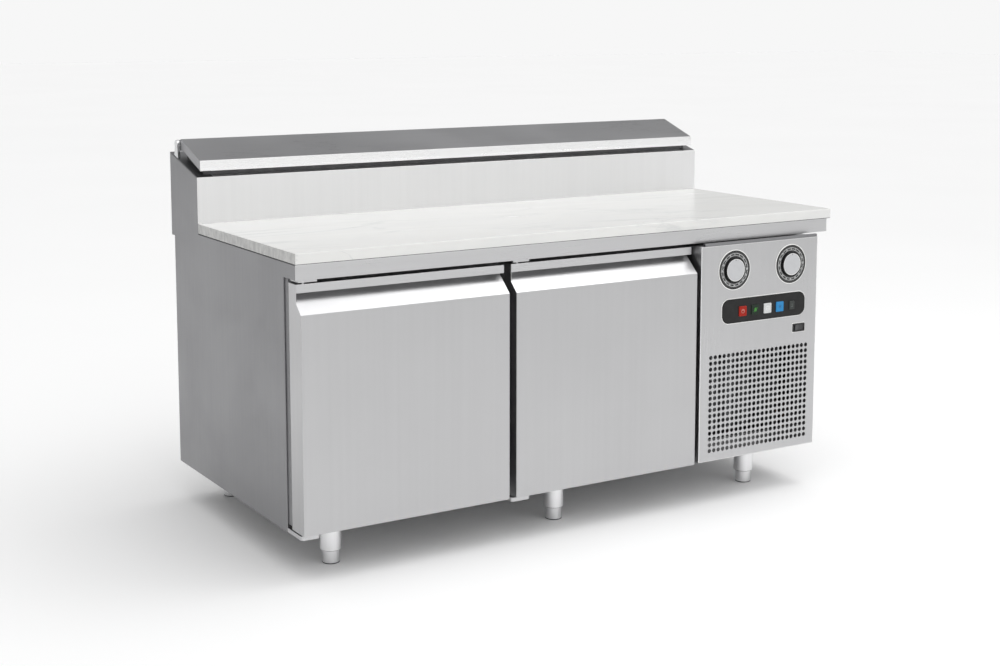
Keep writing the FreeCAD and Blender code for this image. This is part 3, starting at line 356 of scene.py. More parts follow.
@dataclass(frozen=True)
class DrawnMetal(Finish):
    """Bare tube, rod or fin stock as it left the mill: even metal with cloudy tarnish."""

    tarnish: str = "#7A7A7A"
    patch: float = 30 * MM

    def shade(self, tree: bpy.types.NodeTree, place: bpy.types.NodeSocket) -> bpy.types.Node:
        """Tarnish in the colour and the gloss."""
        cloudy = noise(tree, place, (self.patch,) * 3, 4.0, 0.7)
        scuff = noise(tree, place, (1.5 * MM,) * 3, 3.0)
        tint = blend_colour(tree, spread(tree, cloudy, (0.45, 0.75), (0.0, 0.8)), linear(self.colour),
                            linear(self.tarnish))
        return add_node(tree, "ShaderNodeBsdfPrincipled", {
            "Base Color": tint, "Metallic": 1.0,
            "Roughness": spread(tree, cloudy, (0.35, 0.7), (self.roughness - 0.04, self.roughness + 0.12)),
            "Normal": bump(tree, scuff, 0.03 * MM, 0.4)})


@dataclass(frozen=True)
class BakedEnamel(Finish):
    """Black stove enamel on a steel shell: glossy, with the slow waves of orange peel."""

    def shade(self, tree: bpy.types.NodeTree, place: bpy.types.NodeSocket) -> bpy.types.Node:
        """Orange peel in the relief, dust in the colour."""
        peel = noise(tree, place, (3.5 * MM,) * 3, 1.0)
        dust = noise(tree, place, (45 * MM, 45 * MM, 30 * MM), 4.0)
        tint = blend_colour(tree, spread(tree, dust, (0.45, 0.8), (0.0, 0.6)), linear(self.colour),
                            linear("#3A3A39"))
        return add_node(tree, "ShaderNodeBsdfPrincipled", {
            "Base Color": tint, "Roughness": spread(tree, dust, (0.4, 0.7), (self.roughness, 0.5)),
            "IOR": 1.5, "Coat Weight": 0.4, "Coat Roughness": 0.1,
            "Normal": bump(tree, peel, 0.15 * MM, 0.4)})


@dataclass(frozen=True)
class PaleFloor(Finish):
    """Smooth pale studio floor, with a barely seen unevenness."""

    def shade(self, tree: bpy.types.NodeTree, place: bpy.types.NodeSocket) -> bpy.types.Node:
        """Slow changes of tone."""
        tone = noise(tree, place, (1.8, 1.8, 1.8), 2.0)
        return add_node(tree, "ShaderNodeBsdfPrincipled", {
            "Base Color": blend_colour(tree, tone, shaded(self.colour, 0.97), linear(self.colour)),
            "Roughness": self.roughness,
            "Specular IOR Level": 0.2})


# Bare stainless is about #C6C4C1. Each piece's grey is painted lighter or darker than that, so that it reads
# as this object's own steel does under the soft light from the front-left view: painted light and shade, from
# the darkened sides and lid to the lightened hood and legs and the near-white painted highlight of the front
# strip, hems and inlet pins.
STEEL_UPRIGHT = BrushedSteel("stainless_ground_upright", "#C0C0C1", 0.34, Axis.Z, 0.22)
STEEL_ALONG = BrushedSteel("stainless_ground_along", "#C6C6C7", 0.33, Axis.X)
STEEL_SIDE_PAINTED_SHADE = BrushedSteel("stainless_side_painted_shade", "#8C8C8E", 0.36, Axis.Z)
STEEL_DOOR = BrushedSteel("stainless_ground_door", "#BEBEBF", 0.36, Axis.Z, 0.22)
STEEL_HOOD_PAINTED_LIGHT = BrushedSteel("stainless_hood_painted_light", "#E9E9E9", 0.36, Axis.Z, 0.2)
STEEL_LID_PAINTED_SHADE = BrushedSteel("stainless_lid_painted_shade", "#A2A2A4", 0.34, Axis.X, 0.15)
STEEL_TUBE_PAINTED_LIGHT = BrushedSteel("stainless_tube_painted_light", "#ECECED", 0.36, Axis.Z, 0.5)
STEEL_PAINTED_HIGHLIGHT = BrushedSteel("stainless_trim_painted_highlight", "#FCFCFC", 0.3, Axis.X, 0.12)
STEEL_PRESSED = BrushedSteel("stainless_pressed_pan", "#D2D3D4", 0.26, Axis.X, 0.3)
STEEL_WIRE = DrawnMetal("stainless_drawn_wire", "#D6D7D8", 0.22, "#A4A5A7", 60 * MM)
# Breaker grey, set light so that the shaded door gaps read mid grey (painted light); the same grey is painted
# on the steel's sloping rim under the lid as painted shade.
BREAKER_PLASTIC_AND_RIM_SHADE = MouldedPlastic("abs_moulded_grey_and_painted_rim_shade", "#868688", 0.5)
LINER_PLASTIC = MouldedPlastic("abs_moulded_liner_grey", "#7C7D80", 0.5)
# Black moulded plastic; also the dark faces of painted shade where the posts' slots are.
BLACK_PLASTIC_AND_SLOT_SHADE = MouldedPlastic("abs_moulded_black_and_painted_slot_shade", "#141415", 0.45)
PLATE_PLASTIC = MouldedPlastic("polycarbonate_printed_charcoal", "#1A1A1A", 0.42, 0.4 * MM, 0.015 * MM, 0.25)
# Black print of the dials and plate; also the painted shade on the upper hinge plates in the gap.
BLACK_PRINT_AND_GAP_SHADE = MouldedPlastic("polycarbonate_black_and_painted_gap_shade", "#0A0A0B", 0.45, 0.4 * MM, 0.015 * MM, 0.2)
PALE_PRINT = MouldedPlastic("screen_print_pale_grey", "#C9CACA", 0.45)
# White print of the outlines; also the ring of painted highlight on each knob's cap.
WHITE_PRINT_AND_HIGHLIGHT = MouldedPlastic("screen_print_white", "#EFEFED", 0.45)
CAP_PLASTIC = MouldedPlastic("abs_moulded_pale_grey", "#BDBEC0", 0.4)
# Grey gasket rubber of the doors and lid; also the dark ring of painted shade under each leg sleeve.
GASKET_AND_RING_SHADE = MagneticRubber("pvc_gasket_and_painted_ring_shade", "#5C5C5E", 0.72)
# Near-black, for painted shadow under the stone's edge and painted shade under the feet.
DARK_PAINTED_SHADE = MagneticRubber("dark_painted_shade_sheet", "#1C1C1D", 0.7)
ZINC = GalvanisedSheet("steel_galvanised", "#B9BCBF", 0.42)
FIN_STOCK = DrawnMetal("aluminium_fin_stock", "#CBCDD0", 0.34, "#96989B", 40 * MM)
COPPER = DrawnMetal("copper_drawn_tube", "#C9794E", 0.28, "#8A4B31", 25 * MM)
ENAMEL = BakedEnamel("enamel_baked_black", "#131313", 0.28)
CAP_COLOURS = {
    "red": "#9C1B08", "green": "#1D2B20", "white": "#CDCECE", "blue": "#2C82BB", "grey": "#3A3E3C"}
SIGN_COLOURS = {
    "red": "#D9A79C", "green": "#4FB53F", "white": "#77797B", "blue": "#1C5F8E", "grey": "#606563"}


# --- pieces -----------------------------------------------------------------------------------
def dress(finish: Finish, *nodes: str) -> None:
    """Give CAD nodes a finish without touching their shape."""
    for node in nodes:
        slots = frame["nodes"][node].data.materials
        slots.clear()
        slots.append(finish.material())


def soften(mesh: bpy.types.Mesh, soft_angle: float) -> None:
    """Shade small folds smooth while wide faces stay flat, by weighting normals with area.

    Args:
        mesh: Mesh to shade.
        soft_angle: Faces that meet at less than this, in degrees, share their shading.
    """
    mesh.shade_smooth()
    corners, faces = len(mesh.loops), len(mesh.polygons)
    vertex, sides = np.empty(corners, np.int32), np.empty(faces, np.int32)
    normal, area = np.empty(faces * 3, np.float32), np.empty(faces, np.float32)
    mesh.loops.foreach_get("vertex_index", vertex)
    mesh.polygons.foreach_get("loop_total", sides)
    mesh.polygons.foreach_get("normal", normal)
    mesh.polygons.foreach_get("area", area)
    facing = np.repeat(normal.reshape(-1, 3), sides, axis=0).astype(float)
    weighted = facing * np.repeat(area, sides)[:, None]
    total = weighted + facing * 1e-12
    order = np.argsort(vertex, kind="stable")
    limit, step = math.cos(math.radians(soft_angle)), 1
    while True:
        together = vertex[order[step:]] == vertex[order[:-step]]
        if not together.any():
            break
        one, other = order[:-step][together], order[step:][together]
        near = (facing[one] * facing[other]).sum(axis=1) > limit
        total[one[near]] += weighted[other[near]]
        total[other[near]] += weighted[one[near]]
        step += 1
    total /= np.linalg.norm(total, axis=1)[:, None]
    mesh.normals_split_custom_set(total.tolist())


def place_piece(mesh: bpy.types.Mesh, name: str, body: str, slot: str, finishes: Sequence[Finish],
                stands_for: Sequence[str] = (), soft_angle: float = 33.0) -> bpy.types.Object:
    """Turn a finished mesh into a piece of the object.

    Args:
        mesh: Mesh in the model's frame.
        name: Name of the piece.
        body: CAD body that it moves with.
        slot: Material slot of the record; not used.
        finishes: Its finishes, in the order of its faces' material indices.
        stands_for: CAD nodes that it is shown instead of.
        soft_angle: Faces that meet at less than this, in degrees, look smooth.

    Returns:
        The placed object.
    """
    mesh.name = name
    mesh.materials.clear()
    for finish in finishes:
        mesh.materials.append(finish.material())
    soften(mesh, soft_angle)
    piece = bpy.data.objects.new(name, mesh)
    bpy.context.scene.collection.objects.link(piece)
    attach(piece, body)
    if stands_for:
        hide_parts(*stands_for)
    LOG.info("%s on %s, %d faces", name, body, len(mesh.polygons))
    return piece


def to_mesh(work: bmesh.types.BMesh) -> bpy.types.Mesh:
    """Write a bmesh into a new mesh and free it."""
    mesh = bpy.data.meshes.new("work")
    work.to_mesh(mesh)
    work.free()
    return mesh


def island_volume(faces: Iterable[bmesh.types.BMFace]) -> float:
    """Signed volume inside a closed set of faces."""
    total = 0.0
    for face in faces:
        first = face.verts[0].co
        for here, after in zip(face.verts[1:], face.verts[2:]):
            total += first.dot(here.co.cross(after.co)) / 6
    return total


def drop_inner_shells(work: bmesh.types.BMesh) -> None:
    """Delete the closed shells that line a hollow and can't be seen."""
    left = set(work.faces)
    doomed: list[bmesh.types.BMFace] = []
    while left:
        island, queue = set(), [left.pop()]
        while queue:
            face = queue.pop()
            island.add(face)
            for edge in face.edges:
                for other in edge.link_faces:
                    if other in left:
                        left.discard(other)
                        queue.append(other)
        if island_volume(island) < 0:
            doomed.extend(island)
    if doomed:
        bmesh.ops.delete(work, geom=doomed, context="FACES")


def round_edges(work: bmesh.types.BMesh, edges: list[bmesh.types.BMEdge], size: float,
                segments: int) -> None:
    """Round the given edges with an even radius."""
    bmesh.ops.bevel(work, geom=edges, offset=size, offset_type="OFFSET", profile=0.5, segments=segments,
                    affect="EDGES", clamp_overlap=True, material=-1)


@dataclass(frozen=True)
class FoldedEdges:
    """Rounding of a sheet or slab's long outer edges, as a press brake or a grinder leaves them."""

    radius: float = 1.4 * MM
    segments: int = 3
    shortest: float = 12 * MM
    sharpest: float = 26.0
    least_face: float = 2.2

    def rounded(self, node: str,
                paint: Callable[[bmesh.types.BMFace], int] | None = None) -> bpy.types.Mesh:
        """Copy a CAD node's outside with its long edges rounded.

        Args:
            node: CAD node to copy.
            paint: Gives a face's material index, before the edges are rounded.

        Returns:
            The new mesh.
        """
        work = bmesh.new()
        work.from_mesh(frame["nodes"][node].data)
        bmesh.ops.remove_doubles(work, verts=work.verts, dist=WELD)
        drop_inner_shells(work)
        bmesh.ops.dissolve_limit(work, angle_limit=FLAT_TURN, verts=work.verts, edges=work.edges)
        work.normal_update()
        for face in work.faces:
            face.material_index = paint(face) if paint else 0
        chosen = [edge for edge in work.edges if self._wants_rounding(edge)]
        if chosen:
            round_edges(work, chosen, self.radius, self.segments)
        return to_mesh(work)

    def _wants_rounding(self, edge: bmesh.types.BMEdge) -> bool:
        """True for a long convex edge between two faces wide enough to carry the radius."""
        if len(edge.link_faces) != 2 or edge.calc_length() < self.shortest:
            return False
        if not edge.is_convex or math.degrees(edge.calc_face_angle(0.0)) < self.sharpest:
            return False
        narrowest = self.least_face * self.radius
        return all(face.calc_area() / edge.calc_length() > narrowest for face in edge.link_faces)


def lathe(profile: Sequence[Flat], centre: Vector, axis: Axis, steps: int = 48) -> bpy.types.Mesh:
    """Turn a closed outline round an axis.

    Args:
        profile: Corners as distance from the axis and place along it, in order round the outline.
        centre: Point of the axis that places are measured from.
        axis: Direction of the axis, Y or Z.
        steps: Faces round the turn.

    Returns:
        The turned mesh.
    """
    work = bmesh.new()
    rings = []
    for step in range(steps):
        turn = 2 * math.pi * step / steps
        ring = []
        for radius, along in profile:
            across, side = radius * math.cos(turn), radius * math.sin(turn)
            offset = Vector((across, along, side)) if axis is Axis.Y else Vector((across, side, along))
            ring.append(work.verts.new(centre + offset))
        rings.append(ring)
    count = len(profile)
    for step in range(steps):
        here, after = rings[step], rings[(step + 1) % steps]
        for index in range(count):
            following = (index + 1) % count
            if profile[index][0] == 0 and profile[following][0] == 0:
                continue
            work.faces.new((here[index], here[following], after[following], after[index]))
    bmesh.ops.remove_doubles(work, verts=work.verts, dist=POLE_WELD)
    bmesh.ops.recalc_face_normals(work, faces=work.faces)
    return to_mesh(work)


def extrusion(outline: Sequence[Flat], start: float, end: float) -> bpy.types.Mesh:
    """Bar along X with a closed outline of Y and Z places."""
    work = bmesh.new()
    ends = [[work.verts.new((x, y, z)) for y, z in outline] for x in (start, end)]
    count = len(outline)
    for index in range(count):
        following = (index + 1) % count
        work.faces.new((ends[0][index], ends[0][following], ends[1][following], ends[1][index]))
    work.faces.new(ends[0])
    work.faces.new(ends[1])
    bmesh.ops.recalc_face_normals(work, faces=work.faces)
    return to_mesh(work)


def box_mesh(low: Vector, high: Vector) -> bpy.types.Mesh:
    """Plain block between two corners."""
    work = bmesh.new()
    size = high - low
    bmesh.ops.create_cube(work, size=1.0, matrix=Matrix.Translation((low + high) / 2)
                          @ Matrix.Diagonal((size.x, size.y, size.z, 1.0)))
    return to_mesh(work)


def strokes(lines: Sequence[tuple[Flat, Flat]], width: float, front: float, thick: float) -> bpy.types.Mesh:
    """Flat printed strokes that face the front.

    Args:
        lines: Start and end of each stroke, as X and Z.
        width: Width of a stroke.
        front: Y of the strokes' front.
        thick: Depth of the print.

    Returns:
        One mesh with a closed bar for each stroke.
    """
    work = bmesh.new()
    for (x0, z0), (x1, z1) in lines:
        run = Vector((x1 - x0, 0.0, z1 - z0))
        made = bmesh.ops.create_cube(work, size=1.0)
        turn = Matrix.Rotation(-math.atan2(run.z, run.x), 4, "Y")
        size = Matrix.Diagonal((run.length + width, thick, width, 1.0))
        shift = Matrix.Translation(((x0 + x1) / 2, front + thick / 2, (z0 + z1) / 2))
        bmesh.ops.transform(work, matrix=shift @ turn @ size, verts=made["verts"])
    return to_mesh(work)


def numeral(text: str, height: float, spot: Point, turn: float = 0.0) -> bpy.types.Mesh:
    """Raised figure that faces the front, centred on a spot and turned by an angle."""
    curve = bpy.data.curves.new("figure", "FONT")
    curve.body, curve.size, curve.extrude, curve.offset = text, height, 0.08 * MM, 0.16 * MM
    curve.align_x, curve.align_y, curve.resolution_u = "CENTER", "CENTER", 2
    holder = bpy.data.objects.new("figure", curve)
    mesh = bpy.data.meshes.new_from_object(holder)
    bpy.data.objects.remove(holder)
    bpy.data.curves.remove(curve)
    mesh.transform(Matrix.Translation(spot) @ Matrix.Rotation(math.radians(90), 4, "X")
                   @ Matrix.Rotation(turn, 4, "Z"))
    return mesh


def merged(meshes: Iterable[bpy.types.Mesh]) -> bpy.types.Mesh:
    """Join meshes into one and remove the parts."""
    work = bmesh.new()
    for mesh in meshes:
        work.from_mesh(mesh)
        bpy.data.meshes.remove(mesh)
    return to_mesh(work)


# --- geometry trees ---------------------------------------------------------------------------
class GrowTree:
    """A Geometry Nodes tree with named inputs, whose result becomes a plain mesh."""

    def __init__(self, name: str, inputs: dict[str, str]) -> None:
        """Open a tree with inputs of the given socket types."""
        self.tree = bpy.data.node_groups.new(name, "GeometryNodeTree")
        for label, kind in inputs.items():
            self.tree.interface.new_socket(name=label, in_out="INPUT", socket_type=kind)
        self.tree.interface.new_socket(name="Finish", in_out="INPUT", socket_type="NodeSocketMaterial")
        self.tree.interface.new_socket(name="Geometry", in_out="OUTPUT", socket_type="NodeSocketGeometry")
        self.given = add_node(self.tree, "NodeGroupInput").outputs

    def put(self, kind: str, inputs: dict[Any, Any] | None = None, **settings: Any) -> bpy.types.Node:
        """Add a node to this tree."""
        return add_node(self.tree, kind, inputs, **settings)

    def close(self, instances: bpy.types.NodeSocket) -> None:
        """End the tree with real geometry in its finish."""
        real = self.put("GeometryNodeRealizeInstances", {0: instances})
        painted = self.put("GeometryNodeSetMaterial", {"Geometry": real.outputs[0],
                                                       "Material": self.given["Finish"]})
        self.put("NodeGroupOutput", {0: painted.outputs[0]})

    def grow(self, finish: Finish, values: dict[str, Any]) -> bpy.types.Mesh:
        """Evaluate the tree.

        Args:
            finish: Finish of the result.
            values: Value of each named input.

        Returns:
            The result as a plain mesh.
        """
        holder = bpy.data.objects.new("seed", bpy.data.meshes.new("seed"))
        bpy.context.scene.collection.objects.link(holder)
        modifier = holder.modifiers.new("grow", "NODES")
        modifier.node_group = self.tree
        wanted = {**values, "Finish": finish.material()}
        for item in self.tree.interface.items_tree:
            if item.item_type == "SOCKET" and item.in_out == "INPUT":
                modifier[item.identifier] = wanted[item.name]
        graph = bpy.context.evaluated_depsgraph_get()
        mesh = bpy.data.meshes.new_from_object(holder.evaluated_get(graph))
        bpy.data.objects.remove(holder)
        return mesh


def ring_tree() -> GrowTree:
    """Small bars set round a circle that faces the front, such as scale marks or knob ribs."""
    made = GrowTree("bars_round_a_circle", {
        "Count": "NodeSocketInt", "Radius": "NodeSocketFloat", "Bar": "NodeSocketVector",
        "Centre": "NodeSocketVector", "Start": "NodeSocketFloat", "Sweep": "NodeSocketFloat"})
    given = made.given
    index = made.put("GeometryNodeInputIndex").outputs[0]
    share = calculate(made.tree, "DIVIDE", index, given["Count"])
    swept = calculate(made.tree, "MULTIPLY", share, given["Sweep"])
    turn = calculate(made.tree, "ADD", swept, given["Start"])
    cosine = calculate(made.tree, "COSINE", turn)
    sine = calculate(made.tree, "SINE", turn)
    ray = made.put("ShaderNodeCombineXYZ", {0: cosine, 2: sine}).outputs[0]
    arm = made.put("ShaderNodeVectorMath", {0: ray, "Scale": given["Radius"]}, operation="SCALE").outputs[0]
    spot = made.put("ShaderNodeVectorMath", {0: arm, 1: given["Centre"]}, operation="ADD").outputs[0]
    points = made.put("GeometryNodePoints", {"Count": given["Count"], "Position": spot}).outputs[0]
    bar = made.put("GeometryNodeMeshCube", {"Size": given["Bar"]}).outputs[0]
    back = calculate(made.tree, "MULTIPLY", turn, -1.0)
    facing = made.put("ShaderNodeCombineXYZ", {1: back}).outputs[0]
    placed = made.put("GeometryNodeInstanceOnPoints", {"Points": points, "Instance": bar, "Rotation": facing})
    made.close(placed.outputs[0])
    return made


def row_tree() -> GrowTree:
    """Equal blocks at equal steps, such as the fins of a coil or the slots of a post."""
    made = GrowTree("blocks_in_a_row", {
        "Count": "NodeSocketInt", "First": "NodeSocketVector", "Step": "NodeSocketVector",
        "Block": "NodeSocketVector"})
    given = made.given
    line = made.put("GeometryNodeMeshLine", {"Count": given["Count"], "Start Location": given["First"],
                                             "Offset": given["Step"]}, mode="OFFSET").outputs[0]
    block = made.put("GeometryNodeMeshCube", {"Size": given["Block"]}).outputs[0]
    placed = made.put("GeometryNodeInstanceOnPoints", {"Points": line, "Instance": block})
    made.close(placed.outputs[0])
    return made


def louvre_tree() -> GrowTree:
    """Pressed louvre hoods on a grid that faces the back."""
    made = GrowTree("louvres_on_a_grid", {
        "Columns": "NodeSocketInt", "Rows": "NodeSocketInt", "First": "NodeSocketVector",
        "Column Step": "NodeSocketFloat", "Row Step": "NodeSocketFloat", "Hood": "NodeSocketVector"})
    given = made.given
    index = made.put("GeometryNodeInputIndex").outputs[0]
    column = calculate(made.tree, "MODULO", index, given["Columns"])
    ratio = calculate(made.tree, "DIVIDE", index, given["Columns"])
    row = calculate(made.tree, "FLOOR", ratio)
    across = calculate(made.tree, "MULTIPLY", column, given["Column Step"])
    upward = calculate(made.tree, "MULTIPLY", row, given["Row Step"])
    offset = made.put("ShaderNodeCombineXYZ", {0: across, 2: upward}).outputs[0]
    spot = made.put("ShaderNodeVectorMath", {0: given["First"], 1: offset}, operation="ADD").outputs[0]
    total = calculate(made.tree, "MULTIPLY", given["Columns"], given["Rows"])
    points = made.put("GeometryNodePoints", {"Count": total, "Position": spot}).outputs[0]
    dome = made.put("GeometryNodeMeshUVSphere", {"Segments": 12, "Rings": 8, "Radius": 1.0}).outputs[0]
    placed = made.put("GeometryNodeInstanceOnPoints", {"Points": points, "Instance": dome,
                                                       "Scale": given["Hood"]})
    made.close(placed.outputs[0])
    return made


def frame_bead_tree() -> GrowTree:
    """Bead swept round a rectangle with rounded corners that faces the front."""
    made = GrowTree("bead_round_a_frame", {
        "Width": "NodeSocketFloat", "Height": "NodeSocketFloat", "Corner": "NodeSocketFloat",
        "Centre": "NodeSocketVector", "Bead Width": "NodeSocketFloat", "Bead Depth": "NodeSocketFloat"})
    given = made.given
    loop = made.put("GeometryNodeCurvePrimitiveQuadrilateral", {"Width": given["Width"],
                                                               "Height": given["Height"]}).outputs[0]
    rounded = made.put("GeometryNodeFilletCurve", {"Curve": loop, "Radius": given["Corner"], "Count": 6,
                                                   "Limit Radius": True}, mode="POLY").outputs[0]
    upright = made.put("GeometryNodeTransform", {"Geometry": rounded, "Rotation": (math.pi / 2, 0.0, 0.0),
                                                 "Translation": given["Centre"]}).outputs[0]
    profile = made.put("GeometryNodeCurvePrimitiveCircle", {"Resolution": 8, "Radius": 0.5}).outputs[0]
    squeeze = made.put("ShaderNodeCombineXYZ", {0: given["Bead Depth"], 1: given["Bead Width"],
                                                2: 1.0}).outputs[0]
    shaped = made.put("GeometryNodeTransform", {"Geometry": profile, "Scale": squeeze}).outputs[0]
    steady = made.put("GeometryNodeSetCurveNormal", {"Curve": upright}).outputs[0]
    swept = made.put("GeometryNodeCurveToMesh", {"Curve": steady, "Profile Curve": shaped,
                                                 "Fill Caps": False}).outputs[0]
    made.close(swept)
    return made


@dataclass
class Trees:
    """The geometry trees that the sub-assemblies share."""

    ring: GrowTree
    row: GrowTree
    louvre: GrowTree
    bead: GrowTree


# --- sub-assemblies ---------------------------------------------------------------------------
@dataclass
class Cabinet:
    """Insulated steel body, its band under the stone and its breaker frames."""

    fold: FoldedEdges = FoldedEdges(2.2 * MM)
    band_fold: FoldedEdges = FoldedEdges(1.0 * MM)

    def build(self) -> None:
        """Round the sheets that show and dress the rest."""
        skins = {
            "left_side_panel": (self.fold, STEEL_SIDE_PAINTED_SHADE), "right_side_panel": (self.fold, STEEL_SIDE_PAINTED_SHADE),
            "worktop_subframe": (self.band_fold, STEEL_ALONG), "rear_panel": (self.fold, STEEL_UPRIGHT),
            "door_mullion": (self.fold, STEEL_UPRIGHT), "bay_partition": (self.fold, STEEL_UPRIGHT),
            "cabinet_floor": (self.fold, STEEL_ALONG)}
        # The left panel's sloping rim faces get the dark grey: painted shade under the lid.
        rim = rim_shade_painter(frame["nodes"]["hood_front_panel"])
        for node, (edges, finish) in skins.items():
            painted = rim if node == "left_side_panel" else None
            mesh = edges.rounded(node, painted)
            finishes = [finish, BREAKER_PLASTIC_AND_RIM_SHADE] if painted else [finish]
            place_piece(mesh, node + "_skin", BODY_OF[node], "satin_steel", finishes, [node])
        dress(BREAKER_PLASTIC_AND_RIM_SHADE, "breaker_frames")


RIM_DEPTH = 12 * MM


def rim_shade_painter(hood: bpy.types.Object) -> Callable[[bmesh.types.BMFace], int]:
    """Painter that marks the hood's sloping rim, whose faces are painted dark grey as shade under the lid.

    Args:
        hood: The hood's front wall, whose top gives the rim's lowest point.

    Returns:
        A function that gives 1 for a face of the rim and 0 for any other.
    """
    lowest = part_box(hood.name)[1].z - RIM_DEPTH

    def paint(face: bmesh.types.BMFace) -> int:
        """Material index of a face."""
        sloped = 0.9 < face.normal.z < 0.995
        return int(sloped and face.calc_center_median().z > lowest)

    return paint


@dataclass
class Worktop:
    """Stone slab with eased edges and a dark strip under it where it meets the steel: painted shadow of the
    gap there.
    """

    arris: float = 1.4 * MM
    undercut: float = 2.4 * MM
    shadow_strip_back: float = 0.35 * MM

    def build(self) -> None:
        """Make the slab and the dark strip of painted shadow under it."""
        low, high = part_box("marble_worktop")
        stone = PolishedMarble("marble_polished_white", "#DFDFDD", 0.2, left_end_x=low.x + 0.4 * MM)
        place_piece(self._slab(low, high), "marble_slab", "cabinet", "marble", [stone], ["marble_worktop"])
        # Dark strip under the slab's edge: painted shadow of the gap between stone and steel.
        back = self.shadow_strip_back
        shadow_strip = box_mesh(low + Vector((back, back, 0.0)),
                         Vector((high.x - back, high.y - back, low.z + self.undercut * 0.8)))
        place_piece(shadow_strip, "stone_shadow_strip", "cabinet", "gasket_rubber", [DARK_PAINTED_SHADE])

    def _slab(self, low: Vector, high: Vector) -> bpy.types.Mesh:
        """Slab with a small arris round the top and a wider one under it."""
        work = bmesh.new()
        work.from_mesh(box_mesh(low, high))
        for level, size in ((high.z, self.arris), (low.z, self.undercut)):
            chosen = [edge for edge in work.edges if all(abs(v.co.z - level) < 1e-5 for v in edge.verts)]
            round_edges(work, chosen, size, 3)
        return to_mesh(work)


@dataclass
class IngredientRail:
    """Raised hood with its well, the rail that the pans hang in, and the pans."""

    fold: FoldedEdges = FoldedEdges(1.6 * MM)

    def build(self) -> None:
        """Round the hood's walls and dress the well and the pans."""
        # The walls' sloping rim faces get the dark grey as painted shade under the lid; the end wall takes
        # the side's painted shade and the other walls the hood's painted light.
        rim = rim_shade_painter(frame["nodes"]["hood_front_panel"])
        for node in ("hood_front_panel", "hood_rear_panel", "hood_end_right"):
            finish = STEEL_SIDE_PAINTED_SHADE if node == "hood_end_right" else STEEL_HOOD_PAINTED_LIGHT
            place_piece(self.fold.rounded(node, rim), node + "_skin", "cabinet", "satin_steel",
                        [finish, BREAKER_PLASTIC_AND_RIM_SHADE], [node])
        dress(STEEL_ALONG, "well_liner", "pan_rail_frame")
        dress(STEEL_PRESSED, "ingredient_pans")


@dataclass
class Lid:
    """Sloping steel lid with its front strip, whose near-white is painted highlight, liner and seal."""

    fold: FoldedEdges = FoldedEdges(0.8 * MM)
    groove_share: float = 0.24
    groove_depth: float = 0.7 * MM
    nose: float = 1.0 * MM

    def build(self) -> None:
        """Make the cover, the strip and the seals."""
        # The cover's grey is painted shade and the strip's near-white is painted highlight.
        place_piece(self.fold.rounded("lid_cover"), "lid_cover_skin", "lid", "satin_steel", [STEEL_LID_PAINTED_SHADE],
                    ["lid_cover"])
        place_piece(self._strip(), "lid_strip_painted_highlight", "lid", "bright_steel", [STEEL_PAINTED_HIGHLIGHT],
                    ["lid_front_trim"])
        dress(LINER_PLASTIC, "lid_liner")
        dress(GASKET_AND_RING_SHADE, "lid_gasket")
        dress(STEEL_WIRE, "lid_hinge_lugs")

    def _strip(self) -> bpy.types.Mesh:
        """Front strip with a pressed crease above its hem and a rounded top."""
        low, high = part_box("lid_front_trim")
        crease = low.z + (high.z - low.z) * self.groove_share
        front, back, nose = low.y, high.y, self.nose
        half = self.groove_depth
        outline = [(back, low.z), (front + nose * 0.6, low.z), (front, low.z + nose * 0.6),
                   (front, crease - half), (front + self.groove_depth, crease), (front, crease + half),
                   (front, high.z - nose * 1.6), (front + nose * 0.35, high.z - nose * 0.7),
                   (front + nose, high.z - nose * 0.3), (back, high.z)]
        return extrusion(outline, low.x, high.x)


@dataclass
class Door:
    """Insulated door with its turned-down lip, finger recess, liner and magnetic seal."""

    number: int
    trees: Trees
    fold: FoldedEdges = FoldedEdges(1.6 * MM, 3, 3 * MM, 30.0)
    lip_fold: FoldedEdges = FoldedEdges(0.8 * MM, 3, 8 * MM, 30.0)
    seal_width: float = 16 * MM
    seal_corner: float = 6 * MM
    # Inset, width and depth of the bellows, the magnet bead and the rear lip, as shares of the seal.
    beads: tuple[Point, ...] = ((0.3, 0.6, 0.45), (0.62, 0.7, 0.7), (0.5, 0.34, 0.2))

    def build(self) -> None:
        """Make the door's pieces."""
        name = f"door_{self.number}"
        place_piece(self.fold.rounded(name + "_panel"), name + "_pan", name, "satin_steel",
                    [STEEL_DOOR], [name + "_panel"])
        place_piece(self.lip_fold.rounded(name + "_handle"), name + "_lip", name, "satin_steel",
                    [STEEL_ALONG], [name + "_handle"])
        dress(STEEL_UPRIGHT, name + "_liner")
        self._seal(name)

    def _seal(self, name: str) -> None:
        """Sweep the bellows and the magnet bead round the door's back."""
        low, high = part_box(name + "_gasket")
        width, depth = self.seal_width, high.y - low.y
        beads = []
        for inset_share, bead_share, back_share in self.beads:
            inset, bead, back = width * inset_share, width * bead_share, depth * back_share
            centre = Vector(((low.x + high.x) / 2, low.y + back, (low.z + high.z) / 2))
            deep = min(2 * (depth - back), 2 * back + 0.1 * MM)
            beads.append(self.trees.bead.grow(GASKET_AND_RING_SHADE, {
                "Width": high.x - low.x - 2 * inset, "Height": high.z - low.z - 2 * inset,
                "Corner": self.seal_corner, "Centre": centre, "Bead Width": bead, "Bead Depth": deep}))
        place_piece(merged(beads), name + "_seal", name, "gasket_rubber", [GASKET_AND_RING_SHADE],
                    [name + "_gasket"], 60.0)


